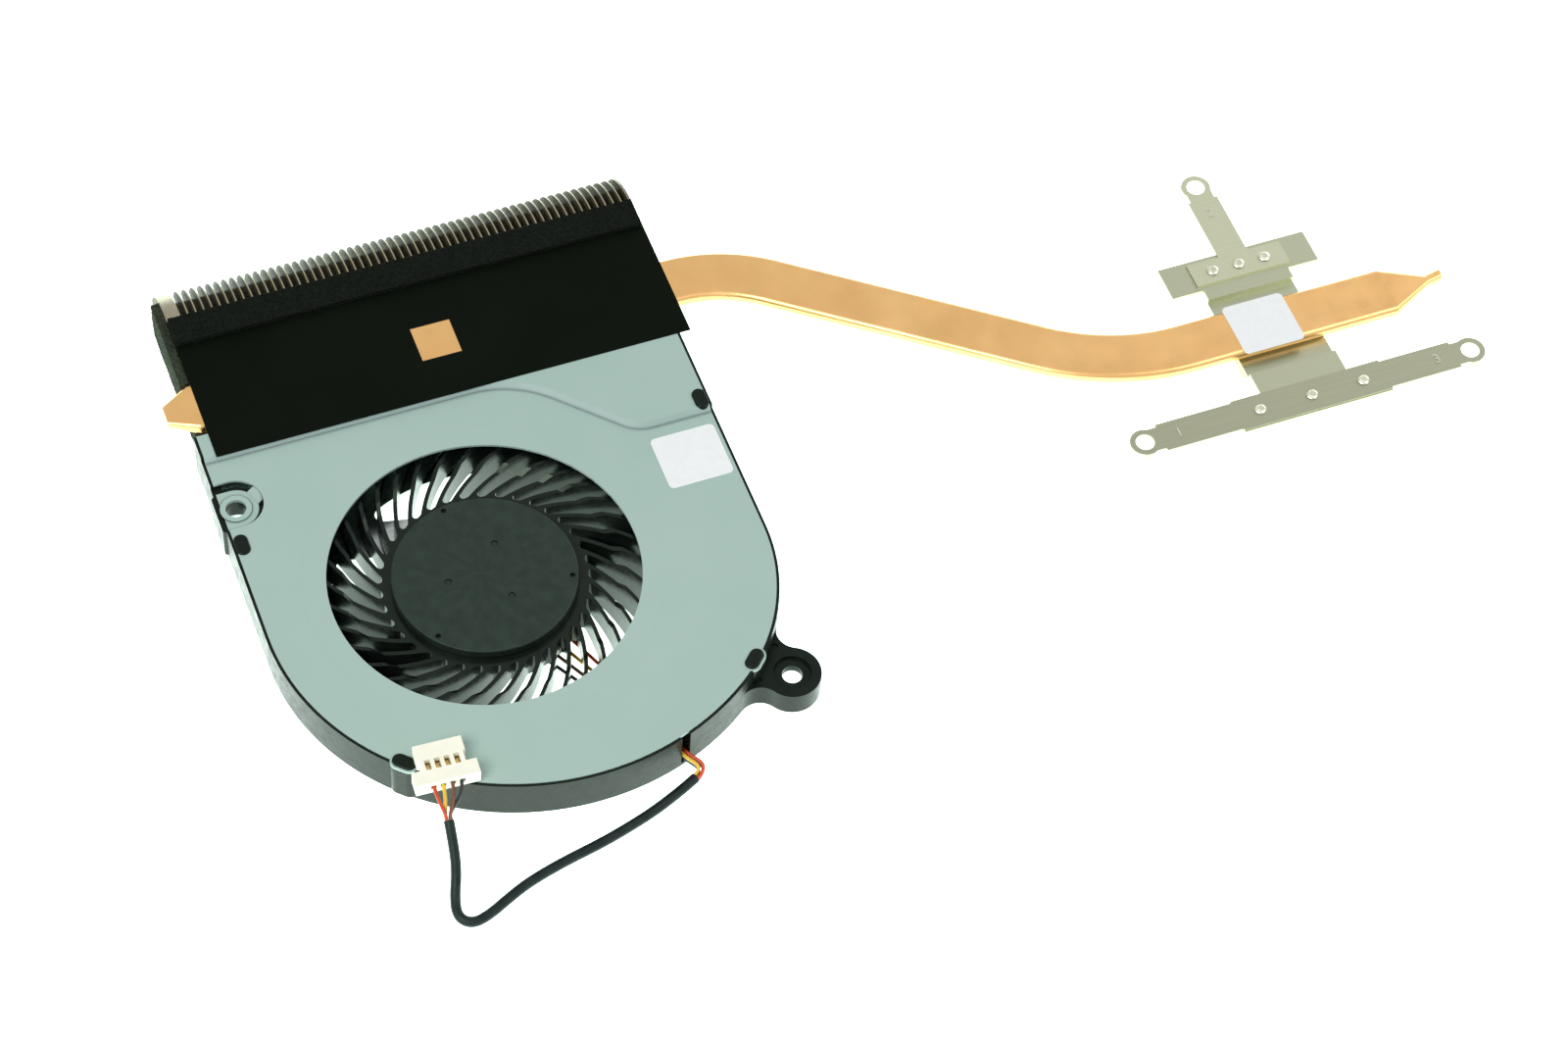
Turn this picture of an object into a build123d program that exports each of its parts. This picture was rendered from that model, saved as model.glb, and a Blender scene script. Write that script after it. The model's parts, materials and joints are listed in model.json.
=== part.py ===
from build123d import *
import os
from math import acos, cos, degrees, radians, sin, sqrt, tan

# Laptop cooling module: blower, fin stack, heat pipe and sprung processor bracket.
# All lengths are in millimetres. The model is drawn from the rotor axis, with the floor at zero
# height, +X along the fin stack, +Y towards the air outlet and +Z up.

# Casing of the blower
FAN_HEIGHT = 7.0
COVER_SHEET = 0.4
BASE_SHEET = 0.4
SCROLL_LEFT = -32.6
SCROLL_START_Y = -0.8
SCROLL_R1 = 36.1
SCROLL_R2 = 39.4
SCROLL_R3 = 30.5
SCROLL_TURN_1 = 58.5
SCROLL_TURN_2 = 67.0
HALF_TURN = 180.0
OUTLET_Y = 35.6
WALL = 1.5
RIM = 0.4
RIM_DROP = 0.1
SHEET_GAP = 0.05

# Raised outlet area of the cover
STEP_HEIGHT = 0.8
STEP_SLOPE = 45.0
STEP_BACK_Y = 30.9
STEP_FRONT_Y = 16.4
STEP_CORNER_X = 14.5
STEP_DIAGONAL = 45.0
STEP_BACK_R = 16.0
STEP_FRONT_R = 6.0

# Inlet and openings of the base plate
INLET_R = 22.5
COLLAR_R = 26.0
COLLAR_PARTS = 5
OPENING_R = 22.2
MOTOR_DISC_R = 14.4
SPOKE_WIDE = 7.6
SPOKE_WIDE_ANGLE = 208.0
SPOKE_MIDDLE = 6.2
SPOKE_MIDDLE_ANGLE = 128.5
SPOKE_MIDDLE_SKEW = 39.5
SPOKE_NARROW = 4.6
SPOKE_NARROW_ANGLE = 2.0
SPOKE_LENGTH = 11.0
SPOKE_MID_R = 19.0
OPENING_CORNER_R = 1.2

# Heat stakes that hold the cover
STAKE_WIDTH = 2.0
STAKE_LENGTH = 3.5
STAKE_HEAD = 0.3
STAKE_EDGE = 0.15
STAKE_SIDE_INSET = 1.4
STAKE_SCROLL_INSET = 0.85
STAKE_BOSS = 0.35
STAKE_LEFT_Y = 15.6
STAKE_RIGHT_Y = 18.6
STAKE_FRONT_TURN = 47.1
STAKE_EAR_TURN = 134.4

# Screw tab pressed down from the cover, and the post under it
LUG_X = -30.15
LUG_Y = 22.35
LUG_R = 3.3
LUG_HOLE_R = 1.5
LUG_DROP = 0.55
LUG_SLIT = 0.85
LUG_SLIT_SHIFT = 0.5
LUG_NECK = 2.6
LUG_NECK_TURN = 22.0
LUG_NECK_LAP = 0.3
LUG_RING_R = 2.3
LUG_RING = 0.12
LUG_WALL = 0.8
LUG_BULGE = 0.4
LUG_FLOOR = 3.3

# Screw ear on the housing
EAR_TURN = 138.1
EAR_REACH = 4.25
EAR_R = 4.2
EAR_HOLE_R = 1.45
EAR_TOP = 4.0
EAR_SINK_R = 2.75
EAR_SINK = 0.6
EAR_WEB = 1.2
EAR_SHELL = 0.8
EAR_DIMPLE_R = 0.45
EAR_DIMPLE = 0.25
EAR_DIMPLE_X = 0.4
EAR_DIMPLE_Y = 3.15
EAR_FLARE_R = 3.0

# Slot for the wires in the front wall
SLOT_TURN = 108.5
SLOT_WIDTH = 1.5
SLOT_FLOOR = 0.7

# Impeller
BLADE_COUNT = 37
BLADE_TURN = 2.3
TIP_GAP = 2.4
BLADE_MID_R = 21.2
BLADE_MID_SWEEP = 19.9
BLADE_END_SWEEP = 40.0
BLADE_ROOT_THICK = 0.65
BLADE_TIP_THICK = 0.45
BLADE_TOP_GAP = 0.7
BLADE_FLOOR_GAP = 0.8
RAMP_IN_R = 19.0
RAMP_OUT_R = 20.2
GAP_END_R = 0.5
RING_R = 14.6
RING_DROP = 1.65
RING_FLOOR_GAP = 1.2
HUB_R = 13.4
HUB_DROP = 0.4
HUB_ROOF = 0.7
HUB_WALL = 0.7
HUB_EDGE = 0.25
PIN_HOLE_R = 0.4
PIN_HOLE_CIRCLE = 12.5
PIN_HOLE_DEPTH = 0.35
PIN_HOLE_ANGLE = 100.0
GATE_R = 0.55
GATE_CIRCLE = 5.4
GATE_DEPTH = 0.12
GATE_ANGLE = 57.0
HUB_MARKS = 3

# Motor
YOKE_SHEET = 0.5
YOKE_BOTTOM = 1.9
MAGNET_THICK = 1.0
AIR_GAP = 0.4
SHAFT_R = 0.75
RUNNING_GAP = 0.03
BEARING_WALL = 1.2
POST_WALL = 0.9
POST_FLANGE_R = 5.4
POST_FLANGE = 0.55
POST_SHOULDER = 0.5
POST_TOP_GAP = 0.5
PAD_THICK = 0.3
BOARD_SHEET = 0.5
BOARD_R = 10.4
TOOTH_COUNT = 9
TOOTH_WIDTH = 1.7
SHOE_THICK = 0.8
SHOE_GAP = 1.2
CORE_RING_WALL = 1.1
WINDING = 0.5
ROTOR_CLEARANCE = 0.4
FIT_GAP = 0.05

# Fin stack
FIN_LEFT = -30.4
FIN_RIGHT = 42.4
FIN_PITCH = 1.238
FIN_SHEET = 0.2
FIN_FRONT = 36.6
FIN_BOTTOM = 0.3
FIN_TOP_END = 57.0
FIN_SILL_END = 66.0
FIN_NOSE_R = 11.3
FIN_CAP = 1.9

# Heat pipe
PIPE_WIDTH = 8.3
PIPE_THICK = 2.0
PIPE_EDGE_R = 0.8
PIPE_Y = 41.1
PIPE_LEFT = -31.0
PIPE_FIRST_BEND_X = 50.9
PIPE_SECOND_BEND_X = 100.3
PIPE_FAR_Y = 4.7
PIPE_RIGHT = 145.5
PIPE_FIRST_R = 23.5
PIPE_SECOND_R = 35.6
PIPE_GAP = 0.05
TAIL_LENGTH = 4.3
TAIL_WIDTH = 3.4
TAIL_THICK = 1.3
TAIL_EDGE_R = 0.5
NOZZLE_LENGTH = 6.6
NOZZLE_WIDTH = 1.7
NOZZLE_EDGE_R = 0.6
TIP_LENGTH = 2.6
TIP_SIDE = 0.5

# Films and foams on the fin stack
FILM = 0.1
FILM_FRONT = 31.1
FILM_BACK = 57.2
FILM_OVERHANG = 0.15
WINDOW_X = 6.15
WINDOW_Y = 41.4
WINDOW_WIDTH = 6.1
WINDOW_DEPTH = 6.4
END_FILM = 0.15
TOP_FOAM = 1.0
TOP_FOAM_FRONT = 52.0
SIDE_FOAM = 1.5
SIDE_FOAM_BACK = 61.3
SIDE_FOAM_BOTTOM = 0.6
SIDE_FOAM_GAP = 0.2

# Processor bracket
BRACKET_SHEET = 0.5
BRACKET_X = 126.2
BRACKET_WIDTH = 14.2
POCKET_WIDTH = 14.9
BRACKET_RISE = 1.0
FLANGE_WIDTH = 24.4
FLANGE_DEPTH = 5.8
NECK_UPPER = 1.9
NECK_LOWER = 3.8
BLOCK_WIDTH = 14.0
BLOCK_DEPTH = 12.0
BLOCK_THICK = 1.4

# Spring arms
ARM_SHEET = 0.3
ARM_WIDTH = 4.9
ARM_WIDE = 5.5
ARM_LEFT_HOLE_X = 99.0
ARM_RIGHT_HOLE_X = 152.6
ARM_HOLE_R = 1.4
ARM_EYE_R = 2.3
ARM_NECK = 2.6
ARM_LIP = 0.9
ARM_LIP_WIDTH = 1.3
T_FOOT_WIDTH = 15.5
T_FOOT_DEPTH = 4.3
T_REACH = 15.9

# Rivets
RIVET_R = 0.5
RIVET_HEAD_R = 0.95
RIVET_HEAD = 0.35
RIVET_EDGE = 0.25
RIVET_FOOT = 0.2
RIVET_PITCH_UPPER = 4.3
RIVET_PITCH_LOWER = 8.5

# Labels
LABEL = 0.1
FAN_LABEL_WIDTH = 9.9
FAN_LABEL_DEPTH = 9.3
FAN_LABEL_EDGE = 1.0
FAN_LABEL_Y = 9.7
PIPE_LABEL_WIDTH = 9.9
PIPE_LABEL_DEPTH = 9.2
PIPE_LABEL_X = 124.6
LABEL_CORNER_R = 0.8

# Lead and plug
WIRE_R = 0.27
SLEEVE_R = 0.75
WIRE_STEP = 0.31
WIRE_FLOOR = 0.68
WIRE_CLIMB = 6.5
WIRE_LIFT = 1.25
WIRE_EXIT = 0.3
LEAD_OUT = 0.9
PIN_RUN = 1.2
WIRE_STAGGER = 1.2
PLUG_X = -16.1
PLUG_Y = -32.8
PLUG_TURN = -3.0
PLUG_HEIGHT = 2.4
PLUG_FLANGE_WIDTH = 9.2
PLUG_FLANGE_DEPTH = 2.3
PLUG_WAIST_WIDTH = 6.2
PLUG_WAIST_DEPTH = 1.7
PLUG_FRONT_WIDTH = 6.9
PLUG_FRONT_DEPTH = 2.4
PIN_PITCH = 1.38
PIN_COUNT = 4
CAVITY = 0.8
CAVITY_DEPTH = 5.4
CONTACT_START = 2.2
CONTACT_LENGTH = 2.8
CONTACT_THICK = 0.5
CONTACT_WINDOW = 1.6

# Heights and edges that follow from the sizes above
SCROLL_BENDS = (
    (SCROLL_R1, SCROLL_TURN_1),
    (SCROLL_R2, SCROLL_TURN_2),
    (SCROLL_R3, HALF_TURN - SCROLL_TURN_1 - SCROLL_TURN_2),
)
LEDGE_Z = FAN_HEIGHT - COVER_SHEET
RIM_TOP = FAN_HEIGHT - RIM_DROP
STACK_TOP = FAN_HEIGHT + STEP_HEIGHT
LUG_TOP = FAN_HEIGHT - LUG_DROP
LUG_UNDER = LUG_TOP - COVER_SHEET
EAR_WEB_Z = EAR_TOP - EAR_SINK - EAR_WEB
STAKE_TOP = FAN_HEIGHT + STAKE_HEAD
BLADE_TIP_R = -SCROLL_LEFT - WALL - TIP_GAP
BLADE_END_R = BLADE_TIP_R + 2 * GAP_END_R
BLADE_TOP = LEDGE_Z - BLADE_TOP_GAP
BLADE_BOTTOM = BASE_SHEET + BLADE_FLOOR_GAP
RING_BOTTOM = BASE_SHEET + RING_FLOOR_GAP
HUB_TOP = FAN_HEIGHT - HUB_DROP
HUB_UNDER = HUB_TOP - HUB_ROOF
RING_TOP = HUB_TOP - RING_DROP
YOKE_R = HUB_R - HUB_WALL
YOKE_UNDER = HUB_UNDER - YOKE_SHEET
MAGNET_R = YOKE_R - YOKE_SHEET
STATOR_R = MAGNET_R - MAGNET_THICK - AIR_GAP
BORE_R = SHAFT_R + RUNNING_GAP
BEARING_R = BORE_R + BEARING_WALL
POST_R = BEARING_R + FIT_GAP + POST_WALL
POST_TOP = YOKE_UNDER - POST_TOP_GAP
PAD_TOP = BASE_SHEET + PAD_THICK
BOARD_BOTTOM = BASE_SHEET + POST_FLANGE
BOARD_TOP = BOARD_BOTTOM + BOARD_SHEET
COIL_BOTTOM = BOARD_TOP + ROTOR_CLEARANCE
COIL_TOP = YOKE_UNDER - ROTOR_CLEARANCE
CORE_BOTTOM = COIL_BOTTOM + WINDING
CORE_TOP = COIL_TOP - WINDING
PIPE_BOTTOM = STACK_TOP - PIPE_THICK
PIPE_MID_Z = STACK_TOP - PIPE_THICK / 2
POCKET_Z = PIPE_BOTTOM - BRACKET_SHEET
FLANGE_Z = POCKET_Z + BRACKET_RISE
ARM_Z = FLANGE_Z + BRACKET_SHEET
ARM_TOP = ARM_Z + ARM_SHEET
POCKET_BACK = PIPE_FAR_Y + POCKET_WIDTH / 2
POCKET_FRONT = PIPE_FAR_Y - POCKET_WIDTH / 2
UPPER_FLANGE_Y = POCKET_BACK + NECK_UPPER + FLANGE_DEPTH / 2
LOWER_FLANGE_Y = POCKET_FRONT - NECK_LOWER - FLANGE_DEPTH / 2
FILM_TOP = STACK_TOP + FILM
PLUG_Z = STAKE_TOP


# Drawing helpers
def plate(face, low, high):
    """A plan drawn at zero height, raised from low to high."""
    return Pos(0, 0, low) * extrude(face, high - low)


def disc(radius, low, high, x=0.0, y=0.0):
    return Pos(x, y, low) * Cylinder(radius, high - low, align=(Align.CENTER, Align.CENTER, Align.MIN))


def tube(outer, inner, low, high):
    return plate(Circle(outer) - Circle(inner), low, high)


def block(left, right, front, back, low, high):
    size = (right - left, back - front, high - low)
    return Pos(left, front, low) * Box(*size, align=(Align.MIN, Align.MIN, Align.MIN))


def polar(radius, angle):
    return Vector(radius * cos(radians(angle)), radius * sin(radians(angle)))


# Plan of the scroll: left wall, three arcs of growing and closing radius, right wall
def scroll_arcs(inset):
    arcs = []
    point = Vector(SCROLL_LEFT + inset, SCROLL_START_Y)
    heading = -90.0
    for radius, turn in SCROLL_BENDS:
        arc = JernArc(point, polar(1, heading), radius - inset, turn)
        arcs.append(arc)
        point = arc @ 1
        heading += turn
    return arcs


def scroll_face(inset, back):
    arcs = scroll_arcs(inset)
    start = arcs[0] @ 0
    end = arcs[-1] @ 1
    return make_face(arcs + [Polyline(end, (end.X, back), (start.X, back), start)])


def scroll_at(turn, inset):
    """The point of the outline where the wall has turned so far, and its outward angle."""
    outward = turn - HALF_TURN
    for arc, (_, bend) in zip(scroll_arcs(inset), SCROLL_BENDS):
        if turn <= bend:
            return arc @ (turn / bend), outward
        turn -= bend


SCROLL_RIGHT = (scroll_arcs(0)[-1] @ 1).X


# Line of the step in the cover, and the raised plan behind it
def raised_face(margin):
    run = (STEP_BACK_Y - STEP_FRONT_Y) / tan(radians(STEP_DIAGONAL))
    left = SCROLL_LEFT - margin
    right = SCROLL_RIGHT + margin
    back = OUTLET_Y + margin
    corners = [
        (left, STEP_BACK_Y),
        (STEP_CORNER_X, STEP_BACK_Y),
        (STEP_CORNER_X + run, STEP_FRONT_Y),
        (right, STEP_FRONT_Y),
    ]
    line = FilletPolyline(*corners, radius=[STEP_BACK_R, STEP_FRONT_R])
    return make_face([line, Polyline(line @ 1, (right, back), (left, back), line @ 0)])


def raised_solid(low, margin):
    """The raised area as a low frustum whose sides lean in."""
    return Pos(0, 0, low) * extrude(raised_face(margin), STEP_HEIGHT, taper=STEP_SLOPE)


RAISED_MARGIN = 4 * STEP_HEIGHT


# Stakes: middle point, angle of the long side and rise of the cover there
def stakes():
    front, front_out = scroll_at(STAKE_FRONT_TURN, STAKE_SCROLL_INSET)
    ear, ear_out = scroll_at(STAKE_EAR_TURN, STAKE_SCROLL_INSET)
    return [
        (Vector(SCROLL_LEFT + STAKE_SIDE_INSET, STAKE_LEFT_Y), 90.0, 0.0),
        (Vector(SCROLL_RIGHT - STAKE_SIDE_INSET, STAKE_RIGHT_Y), 90.0, STEP_HEIGHT),
        (front, front_out + 90.0, 0.0),
        (ear, ear_out + 90.0, 0.0),
    ]


def stake_face(point, angle, grow):
    return Pos(point) * SlotOverall(STAKE_LENGTH + 2 * grow, STAKE_WIDTH + 2 * grow, rotation=angle)


def lobes(grow):
    """The bulges of the outline round the two stakes on the scroll."""
    return [stake_face(point, angle, grow) for point, angle, _ in stakes()[2:]]


# Screw tab: a half-round plan that runs out to the left wall
def lug_face(radius, shift):
    reach = LUG_X - SCROLL_LEFT
    bar = Pos(LUG_X - reach / 2, LUG_Y + shift) * Rectangle(reach, 2 * radius)
    return Pos(LUG_X, LUG_Y + shift) * Circle(radius) + bar


def lug_neck():
    """The sloping strap that joins the tab to the cover."""
    start = LUG_R - LUG_NECK_LAP
    end = LUG_R + LUG_SLIT + LUG_NECK_LAP
    side = Polyline((start, LUG_UNDER), (start, LUG_TOP), (end, FAN_HEIGHT), (end, LEDGE_Z), close=True)
    strap = extrude(Plane.XZ * make_face(side), LUG_NECK / 2, both=True)
    return Pos(LUG_X, LUG_Y) * Rot(0, 0, LUG_NECK_TURN) * strap


# Ear: round end on a neck that flares into the wall
def ear_frame():
    root, outward = scroll_at(EAR_TURN, 0)
    return Pos(root) * Rot(0, 0, outward)


def ear_face():
    """A round end and two flares that run into it and into the wall without a corner."""
    span = SCROLL_R3 + EAR_REACH
    to_wall = SCROLL_R3 + EAR_FLARE_R
    to_end = EAR_R + EAR_FLARE_R
    along = (span**2 + to_wall**2 - to_end**2) / (2 * span)
    aside = sqrt(to_wall**2 - along**2)
    wall_x = SCROLL_R3 * (along / to_wall - 1)
    wall_y = SCROLL_R3 * aside / to_wall
    end_x = EAR_REACH + (along - span) * EAR_R / to_end
    end_y = aside * EAR_R / to_end
    edges = [
        ThreePointArc((end_x, -end_y), (EAR_REACH + EAR_R, 0), (end_x, end_y)),
        RadiusArc((end_x, end_y), (wall_x, wall_y), EAR_FLARE_R),
        Line((wall_x, wall_y), (wall_x, -wall_y)),
        RadiusArc((wall_x, -wall_y), (end_x, -end_y), EAR_FLARE_R),
    ]
    return make_face(edges)


def make_housing():
    outside = scroll_face(0, OUTLET_Y)
    wall = outside - scroll_face(WALL, OUTLET_Y + WALL)
    rim = outside - scroll_face(RIM, OUTLET_Y + WALL)
    rim -= lobes(STAKE_BOSS + SHEET_GAP)
    high = Pos(0, STEP_HEIGHT) * raised_face(RAISED_MARGIN)
    body = plate(wall, 0, LEDGE_Z) + plate(rim, LEDGE_Z, RIM_TOP)
    body += plate(wall & high, LEDGE_Z, LEDGE_Z + STEP_HEIGHT)
    body += plate(rim & high, LEDGE_Z + STEP_HEIGHT, RIM_TOP + STEP_HEIGHT)
    for point, angle, rise in stakes():
        boss = stake_face(point, angle, STAKE_BOSS)
        body += plate(boss, BASE_SHEET, LEDGE_Z)
        if rise:
            body += plate(boss & high, LEDGE_Z, LEDGE_Z + rise)
    lug_boss = lug_face(LUG_R + LUG_WALL, 0) & scroll_face(-LUG_BULGE, OUTLET_Y)
    body += plate(lug_boss, BASE_SHEET, LUG_UNDER)
    body -= plate(lug_face(LUG_R + LUG_SLIT, LUG_SLIT_SHIFT), LUG_UNDER, STACK_TOP)
    body -= plate(lug_face(LUG_R, 0) & scroll_face(LUG_WALL, OUTLET_Y), 0, LUG_FLOOR)
    body -= disc(LUG_HOLE_R, LUG_FLOOR, LUG_UNDER, LUG_X, LUG_Y)
    for point, angle, rise in stakes():
        pin = plate(stake_face(point, angle, 0), LEDGE_Z + rise, STAKE_TOP + rise)
        body += fillet(pin.faces().sort_by(Axis.Z)[-1].edges(), STAKE_EDGE)
    ear = plate(ear_face(), 0, EAR_TOP) - plate(offset(ear_face(), -EAR_SHELL), 0, EAR_WEB_Z)
    ear -= disc(EAR_HOLE_R, EAR_WEB_Z, EAR_TOP, EAR_REACH)
    ear -= disc(EAR_SINK_R, EAR_TOP - EAR_SINK, EAR_TOP, EAR_REACH)
    for side in (-1, 1):
        ear -= disc(EAR_DIMPLE_R, EAR_TOP - EAR_DIMPLE, EAR_TOP, EAR_DIMPLE_X, side * EAR_DIMPLE_Y)
    body += ear_frame() * ear
    body -= plate(scroll_face(RIM, OUTLET_Y + WALL), 0, BASE_SHEET)
    point, outward = scroll_at(SLOT_TURN, WALL / 2)
    slot = block(-WALL, WALL, -SLOT_WIDTH / 2, SLOT_WIDTH / 2, SLOT_FLOOR, FAN_HEIGHT)
    body -= Pos(point) * Rot(0, 0, outward) * slot
    return body


def cover_parts(sheet):
    """The sheet as sectors round the inlet, the corner of the screw tab and two halves, all touching."""
    collar = disc(COLLAR_R, 0, STACK_TOP)
    far = -2 * SCROLL_LEFT
    corner = block(-far, LUG_X + 2 * LUG_R, LUG_Y - 2 * LUG_R, far, 0, STACK_TOP)
    step = 360 / COLLAR_PARTS
    cutters = []
    for number in range(COLLAR_PARTS):
        ends = [polar(far, (number + side) * step) for side in (0, 1)]
        cutters.append(plate(make_face(Polyline((0, 0), *ends, close=True)), 0, STACK_TOP) & collar)
    cutters.append(corner - collar)
    cutters.append(block(-far, 0, -far, far, 0, STACK_TOP) - corner - collar)
    cutters.append(block(0, far, -far, far, 0, STACK_TOP) - collar)
    return Compound([solid for cutter in cutters for solid in (sheet & cutter).solids()])


def make_cover():
    plan = scroll_face(RIM + SHEET_GAP, OUTLET_Y) + lobes(STAKE_BOSS)
    skin = plate(scroll_face(-WALL, OUTLET_Y + RAISED_MARGIN), LEDGE_Z - COVER_SHEET, FAN_HEIGHT)
    skin += raised_solid(FAN_HEIGHT, RAISED_MARGIN)
    sheet = (skin - Pos(0, 0, -COVER_SHEET) * skin) & plate(plan, 0, STACK_TOP)
    sheet -= disc(INLET_R, 0, STACK_TOP)
    for point, angle, rise in stakes():
        sheet -= plate(stake_face(point, angle, SHEET_GAP), LEDGE_Z, STAKE_TOP + rise)
    sheet -= plate(lug_face(LUG_R + LUG_SLIT, LUG_SLIT_SHIFT), LEDGE_Z, FAN_HEIGHT)
    tab = plate(lug_face(LUG_R, 0) & plan, LUG_UNDER, LUG_TOP)
    tab += disc(LUG_RING_R, LUG_TOP, LUG_TOP + LUG_RING, LUG_X, LUG_Y)
    tab -= disc(LUG_HOLE_R, LUG_UNDER, STACK_TOP, LUG_X, LUG_Y)
    return cover_parts(sheet + tab + lug_neck())


def opening_face():
    ring = Circle(OPENING_R) - Circle(MOTOR_DISC_R)
    spokes = [
        (SPOKE_MIDDLE_ANGLE, SPOKE_MIDDLE_SKEW, SPOKE_MIDDLE),
        (SPOKE_WIDE_ANGLE, 0, SPOKE_WIDE),
        (SPOKE_NARROW_ANGLE, 0, SPOKE_NARROW),
    ]
    for angle, skew, width in spokes:
        bar = Rectangle(SPOKE_LENGTH * 2, width, rotation=angle + skew)
        ring -= Pos(polar(SPOKE_MID_R, angle)) * bar
    return offset(offset(ring, -OPENING_CORNER_R), OPENING_CORNER_R)


def make_base():
    sheet = plate(scroll_face(RIM + SHEET_GAP, OUTLET_Y), 0, BASE_SHEET)
    sheet -= plate(opening_face(), 0, BASE_SHEET)
    return sheet - plate(lug_face(LUG_R, 0), 0, BASE_SHEET)


# Impeller: hub cup and a turned ring that round-ended gaps part into swept blades
def blade_flank(sign):
    """One side of a blade, from the root ring to a little past the tip."""
    spine = ThreePointArc(
        polar(RING_R, 0),
        polar(BLADE_MID_R, -BLADE_MID_SWEEP),
        polar(BLADE_END_R, -BLADE_END_SWEEP),
    )
    points = []
    for share in (0, 0.5, 1):
        half = (BLADE_ROOT_THICK + (BLADE_TIP_THICK - BLADE_ROOT_THICK) * share) / 2
        across = (spine % share).rotate(Axis.Z, 90)
        points.append((spine @ share) + across * (half * sign))
    return ThreePointArc(*points)


def gap_face():
    near = blade_flank(1)
    far = Rot(0, 0, 360 / BLADE_COUNT) * blade_flank(-1)
    gap = make_face([near, Line(near @ 1, far @ 1), far, Line(far @ 0, near @ 0)])
    return offset(offset(gap, -GAP_END_R), GAP_END_R)


def make_impeller():
    profile = Polyline(
        (YOKE_R, RING_BOTTOM),
        (RING_R, BLADE_BOTTOM),
        (BLADE_TIP_R, BLADE_BOTTOM),
        (BLADE_TIP_R, BLADE_TOP),
        (RAMP_OUT_R, BLADE_TOP),
        (RAMP_IN_R, RING_TOP),
        (YOKE_R, RING_TOP),
        close=True,
    )
    blades = revolve(Plane.XZ * make_face(profile), Axis.Z)
    gap = plate(gap_face(), 0, FAN_HEIGHT)
    blades -= [Rot(0, 0, BLADE_TURN + number * 360 / BLADE_COUNT) * gap for number in range(BLADE_COUNT)]
    hub = disc(HUB_R, RING_BOTTOM, HUB_TOP)
    hub = fillet(hub.faces().sort_by(Axis.Z)[-1].edges(), HUB_EDGE)
    hub -= disc(YOKE_R, RING_BOTTOM, HUB_UNDER)
    hub -= disc(SHAFT_R, HUB_UNDER, HUB_TOP - HUB_ROOF / 2)
    for mark in range(HUB_MARKS):
        turn = mark * 360 / HUB_MARKS
        hole = polar(PIN_HOLE_CIRCLE, PIN_HOLE_ANGLE + turn)
        gate = polar(GATE_CIRCLE, GATE_ANGLE + turn)
        hub -= disc(PIN_HOLE_R, HUB_TOP - PIN_HOLE_DEPTH, HUB_TOP, hole.X, hole.Y)
        hub -= disc(GATE_R, HUB_TOP - GATE_DEPTH, HUB_TOP, gate.X, gate.Y)
    return hub + blades


# Motor: cup, magnet and shaft turn, the rest stands on the base plate
def make_yoke():
    cup = disc(YOKE_R, YOKE_BOTTOM, HUB_UNDER) - disc(MAGNET_R, YOKE_BOTTOM, YOKE_UNDER)
    return cup - disc(SHAFT_R, YOKE_UNDER, HUB_UNDER)


def make_magnet():
    return tube(MAGNET_R, MAGNET_R - MAGNET_THICK, YOKE_BOTTOM, YOKE_UNDER)


def make_shaft():
    return disc(SHAFT_R, PAD_TOP + RUNNING_GAP, HUB_TOP - HUB_ROOF / 2)


def make_post():
    post = disc(POST_R, BASE_SHEET, POST_TOP) + disc(POST_FLANGE_R, BASE_SHEET, BOARD_BOTTOM)
    post += disc(POST_R + POST_SHOULDER, BASE_SHEET, CORE_BOTTOM)
    return post - disc(BEARING_R + FIT_GAP, BASE_SHEET, POST_TOP)


def make_bearing():
    return tube(BEARING_R, BORE_R, PAD_TOP, POST_TOP)


def make_thrust_pad():
    return disc(BEARING_R, BASE_SHEET, PAD_TOP)


def make_board():
    return tube(BOARD_R, POST_R + POST_SHOULDER + FIT_GAP, BOARD_BOTTOM, BOARD_TOP)


def teeth():
    return [Rot(0, 0, number * 360 / TOOTH_COUNT) for number in range(TOOTH_COUNT)]


CORE_INNER_R = POST_R + FIT_GAP
CORE_RING_R = CORE_INNER_R + POST_SHOULDER + CORE_RING_WALL


def make_core():
    reach = STATOR_R - CORE_RING_R + CORE_RING_WALL
    arm = Pos((CORE_RING_R + STATOR_R) / 2, 0) * Rectangle(reach, TOOTH_WIDTH)
    shoes = Circle(STATOR_R) - Circle(STATOR_R - SHOE_THICK)
    gap = Pos(STATOR_R, 0) * Rectangle(3 * SHOE_THICK, SHOE_GAP)
    plan = Circle(CORE_RING_R) - Circle(CORE_INNER_R)
    for turn in teeth():
        half = Rot(0, 0, HALF_TURN / TOOTH_COUNT)
        shoes -= turn * half * gap
        plan += turn * arm & Circle(STATOR_R)
    return plate(plan + shoes, CORE_BOTTOM, CORE_TOP)


def make_windings():
    inner = CORE_RING_R + FIT_GAP
    outer = STATOR_R - SHOE_THICK - FIT_GAP
    middle = (inner + outer) / 2
    around = Pos(middle, 0) * Rectangle(outer - inner, TOOTH_WIDTH + 2 * WINDING) & Circle(outer)
    tooth = Pos(middle, 0) * Rectangle(outer - inner, TOOTH_WIDTH + 2 * FIT_GAP)
    coil = plate(around, COIL_BOTTOM, COIL_TOP) - plate(tooth, CORE_BOTTOM - FIT_GAP, CORE_TOP + FIT_GAP)
    return Compound([(turn * coil).solid() for turn in teeth()])


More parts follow.
